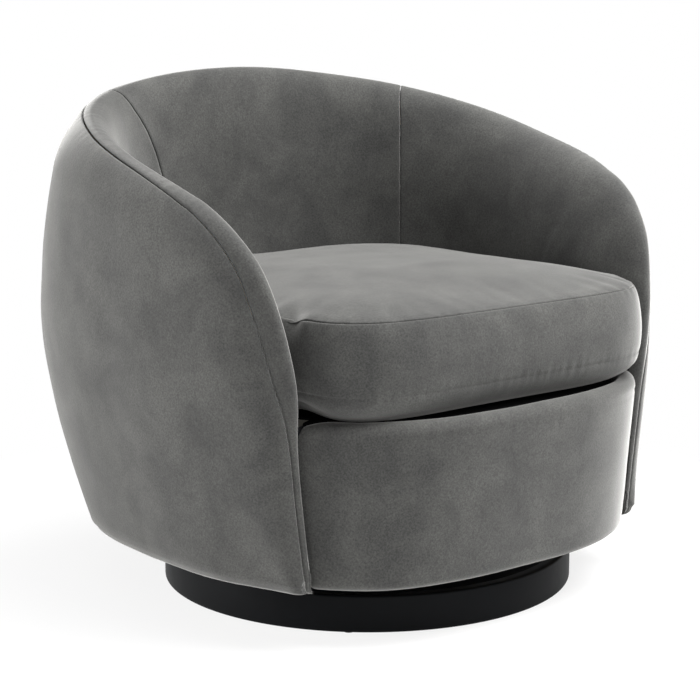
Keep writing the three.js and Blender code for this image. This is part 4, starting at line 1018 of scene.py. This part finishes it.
def sawn_wood(name, dark, light, grain_mm, rough):
    """Bare sawn wood: pale, with long fine grain along its length and a dry, slightly fuzzy face."""
    material = new_material(name)
    where = add(material, "ShaderNodeTexCoord")
    along = add(material, "ShaderNodeMapping", {"Scale": (1, 1, 0.08)},
                {"Vector": (where, "Object")})
    grain = add(material, "ShaderNodeTexNoise", {"Scale": per_m(grain_mm), "Detail": 5.0, "Distortion": 0.4},
                {"Vector": (along, "Vector")})
    colour = add(material, "ShaderNodeMix", {"data_type": "RGBA", 6: linear(dark), 7: linear(light)},
                 {0: (grain, "Fac")})
    relief = add(material, "ShaderNodeBump", {"Strength": 0.4, "Distance": 0.0002},
                 {"Height": (grain, "Fac")})
    shader = add(material, "ShaderNodeBsdfPrincipled", {"Roughness": rough, "IOR": 1.5},
                 {"Base Color": (colour, 2), "Normal": (relief, "Normal")})
    add(material, "ShaderNodeOutputMaterial", {}, {"Surface": (shader, "BSDF")})
    return material


def matted_fibre(name, dark, light, fibre_mm, rough):
    """Matted or pressed fibre: dull and even, flecked by its fibres, with no gloss at all."""
    material = new_material(name)
    where = add(material, "ShaderNodeTexCoord")
    fibres = add(material, "ShaderNodeTexNoise", {"Scale": per_m(fibre_mm), "Detail": 5.0, "Roughness": 0.75},
                 {"Vector": (where, "Object")})
    colour = add(material, "ShaderNodeMix", {"data_type": "RGBA", 6: linear(dark), 7: linear(light)},
                 {0: (fibres, "Fac")})
    relief = add(material, "ShaderNodeBump", {"Strength": 0.5, "Distance": 0.0003},
                 {"Height": (fibres, "Fac")})
    shader = add(material, "ShaderNodeBsdfPrincipled", {"Roughness": rough, "Specular IOR Level": 0.04},
                 {"Base Color": (colour, 2), "Normal": (relief, "Normal")})
    add(material, "ShaderNodeOutputMaterial", {}, {"Surface": (shader, "BSDF")})
    return material


def woven_tape(name, dark, light, thread_mm, rough):
    """Plain-woven synthetic cloth or tape: thin threads over and under, seen as a fine even check."""
    material = new_material(name)
    where = add(material, "ShaderNodeTexCoord")
    warp = add(material, "ShaderNodeTexWave", {"Scale": per_m(thread_mm) / 6.3, "bands_direction": "X"},
               {"Vector": (where, "Object")})
    weft = add(material, "ShaderNodeTexWave", {"Scale": per_m(thread_mm) / 6.3, "bands_direction": "Y"},
               {"Vector": (where, "Object")})
    weave = add(material, "ShaderNodeMath", {"operation": "MULTIPLY"},
                {0: (warp, "Fac"), 1: (weft, "Fac")})
    colour = add(material, "ShaderNodeMix", {"data_type": "RGBA", 6: linear(dark), 7: linear(light)},
                 {0: (weave, "Value")})
    relief = add(material, "ShaderNodeBump", {"Strength": 0.5, "Distance": 0.0002},
                 {"Height": (weave, "Value")})
    shader = add(material, "ShaderNodeBsdfPrincipled", {"Roughness": rough, "Specular IOR Level": 0.25},
                 {"Base Color": (colour, 2), "Normal": (relief, "Normal")})
    add(material, "ShaderNodeOutputMaterial", {}, {"Surface": (shader, "BSDF")})
    return material


VELVET_DARK = "#3d3d3c"
VELVET_LIGHT = "#4b4b49"
VELVET_SHEEN = 0.6
VELVET_SHEEN_ROUGHNESS = 0.39

finishes = {
    "velvet": cut_velvet(),
    "black_lacquer": satin_lacquer(),
    "nylon": moulded_nylon(),
    "zinc_steel": zinc_plate(),
    "spring_steel": tempered_spring(),
    # Birch plywood: pale yellow, with a close even grain
    "plywood": sawn_wood("birch_plywood", "#b8935f", "#d6b888", 6, 0.62),
    # Sawn pine: warmer, with wider grain
    "timber": sawn_wood("sawn_pine", "#a67a49", "#cda46e", 9, 0.68),
    # Non-woven lining: black, dull and flecked
    "lining": matted_fibre("black_spunbond_lining", "#0d0d0e", "#19191a", 1.5, 0.95),
    # Pressed wool felt under the glides
    "felt": matted_fibre("grey_wool_felt", "#716e67", "#98958e", 1.6, 0.97),
    # Tempered hardboard: brown, smooth and faintly flecked
    "hardboard": matted_fibre("tempered_hardboard", "#664a30", "#86633f", 2.2, 0.7),
    # Polyurethane foam: cream, with open cells
    "foam": matted_fibre("cream_polyurethane_foam", "#cbc3ac", "#e4deca", 1.4, 0.95),
    # Coil zip on a woven nylon tape, drawn with 1 mm threads
    "zip_nylon": woven_tape("grey_nylon_zip_tape", "#343434", "#4b4b4b", 1.0, 0.6),
}
slots = {row["node"]: row["material_slot"] for row in frame["record"]["subparts"]}
for node_name, obj in frame["nodes"].items():
    obj.data.materials.clear()
    obj.data.materials.append(finishes[slots[node_name]])
dressed = {
    "velvet": (outside, *gussets, inside_back, arm_left, arm_right, rail, cushion),
    # The black lining pieces are painted shade in the gaps under and beside the rail
    "lining": (deck_shade_lining, *crease_shade_linings),
    "black_lacquer": (plinth,),
}
for slot, pieces in dressed.items():
    for piece in pieces:
        piece.data.materials.append(finishes[slot])


# Floor and light
FLOOR_SIZE = 60
WHITE_NEAR = 0.82
NEAR, FAR = 0.35, 0.9
AMBIENT = 0.2


def straight_rays(owner):
    """1 for what is seen straight, in a mirror or through a clear piece, and 0 for soft light."""
    seen = add(owner, "ShaderNodeLightPath")
    straight = add(owner, "ShaderNodeMath", {"operation": "MAXIMUM"},
                   {0: (seen, "Is Camera Ray"), 1: (seen, "Is Glossy Ray")})
    return add(owner, "ShaderNodeMath", {"operation": "MAXIMUM"},
               {0: (straight, "Value"), 1: (seen, "Is Transmission Ray")})


bpy.ops.mesh.primitive_plane_add(size=FLOOR_SIZE, location=(0, 0, 0))
floor = bpy.context.object
floor.name = "floor"
pale = new_material("pale_floor")
straight = straight_rays(pale)
spot = add(pale, "ShaderNodeTexCoord")
away = add(pale, "ShaderNodeVectorMath", {"operation": "LENGTH"}, {0: (spot, "Object")})
fade = add(pale, "ShaderNodeMapRange",
           {"From Min": NEAR, "From Max": FAR, "To Min": WHITE_NEAR, "To Max": 1.0},
           {"Value": (away, "Value")})
share = add(pale, "ShaderNodeMath", {"operation": "MULTIPLY"}, {0: (straight, "Value"), 1: (fade, "Result")})
matt = add(pale, "ShaderNodeBsdfDiffuse", {"Color": linear("#f0f0f0")})
white = add(pale, "ShaderNodeEmission", {"Strength": 1.0})
mixed = add(pale, "ShaderNodeMixShader", {},
            {0: (share, "Value"), 1: (matt, "BSDF"), 2: (white, "Emission")})
add(pale, "ShaderNodeOutputMaterial", {}, {"Surface": (mixed, "Shader")})
floor.data.materials.append(pale)

world = bpy.data.worlds.new("studio")
bpy.context.scene.world = world
world.use_nodes = True
world.node_tree.nodes.clear()
straight = straight_rays(world)
dim = add(world, "ShaderNodeBackground", {"Color": (1, 1, 1, 1), "Strength": AMBIENT})
bright = add(world, "ShaderNodeBackground", {"Color": (1, 1, 1, 1), "Strength": 1.0})
mixed = add(world, "ShaderNodeMixShader", {},
            {0: (straight, "Value"), 1: (dim, "Background"), 2: (bright, "Background")})
add(world, "ShaderNodeOutputWorld", {}, {"Surface": (mixed, "Shader")})


def softbox(name, place, aim, size, power):
    """A square area lamp: place and aim in metres, power in watts."""
    light = bpy.data.lights.new(name, "AREA")
    light.size = size
    light.energy = power
    obj = bpy.data.objects.new(name, light)
    bpy.context.scene.collection.objects.link(obj)
    obj.location = place
    obj.rotation_mode = "QUATERNION"
    obj.rotation_quaternion = (Vector(aim) - Vector(place)).to_track_quat("-Z", "Y")


softbox("softbox_left", (-3.0, 1.7, 1.0), (0, 0, 0.4), 1.6, 155)
softbox("softbox_front", (-1.6, -3.0, 1.6), (0, 0, 0.4), 1.8, 24)
softbox("softbox_low", (0.9, -3.2, 0.5), (0, 0, 0.3), 1.8, 7)
softbox("softbox_top", (0.9, -0.9, 3.0), (0, 0, 0.3), 2.4, 330)


# Camera, at the photograph's view
VIEW_AZIMUTH = math.radians(-40.21)
VIEW_PAN = math.radians(0.54)
VIEW_PITCH = math.radians(10.40)
VIEW_DISTANCE = 2.632
VIEW_HEIGHT = 0.8046
FOCUS_PIXELS = 1879
FRAME_PIXELS = 700
SENSOR = 36
camera_data = bpy.data.cameras.new("camera")
camera = bpy.data.objects.new("camera", camera_data)
bpy.context.scene.collection.objects.link(camera)
bpy.context.scene.camera = camera
camera.location = (
    math.sin(VIEW_AZIMUTH) * VIEW_DISTANCE,
    -math.cos(VIEW_AZIMUTH) * VIEW_DISTANCE + AXIS_Y * MM,
    VIEW_HEIGHT,
)
heading = VIEW_AZIMUTH + VIEW_PAN
level = math.cos(VIEW_PITCH)
ahead = Vector((-math.sin(heading) * level, math.cos(heading) * level, -math.sin(VIEW_PITCH)))
camera.rotation_mode = "QUATERNION"
camera.rotation_quaternion = ahead.to_track_quat("-Z", "Y")
camera_data.sensor_width = SENSOR
camera_data.lens = FOCUS_PIXELS / FRAME_PIXELS * SENSOR
camera_data.clip_start = 0.05

bpy.context.scene.view_settings.view_transform = "Standard"
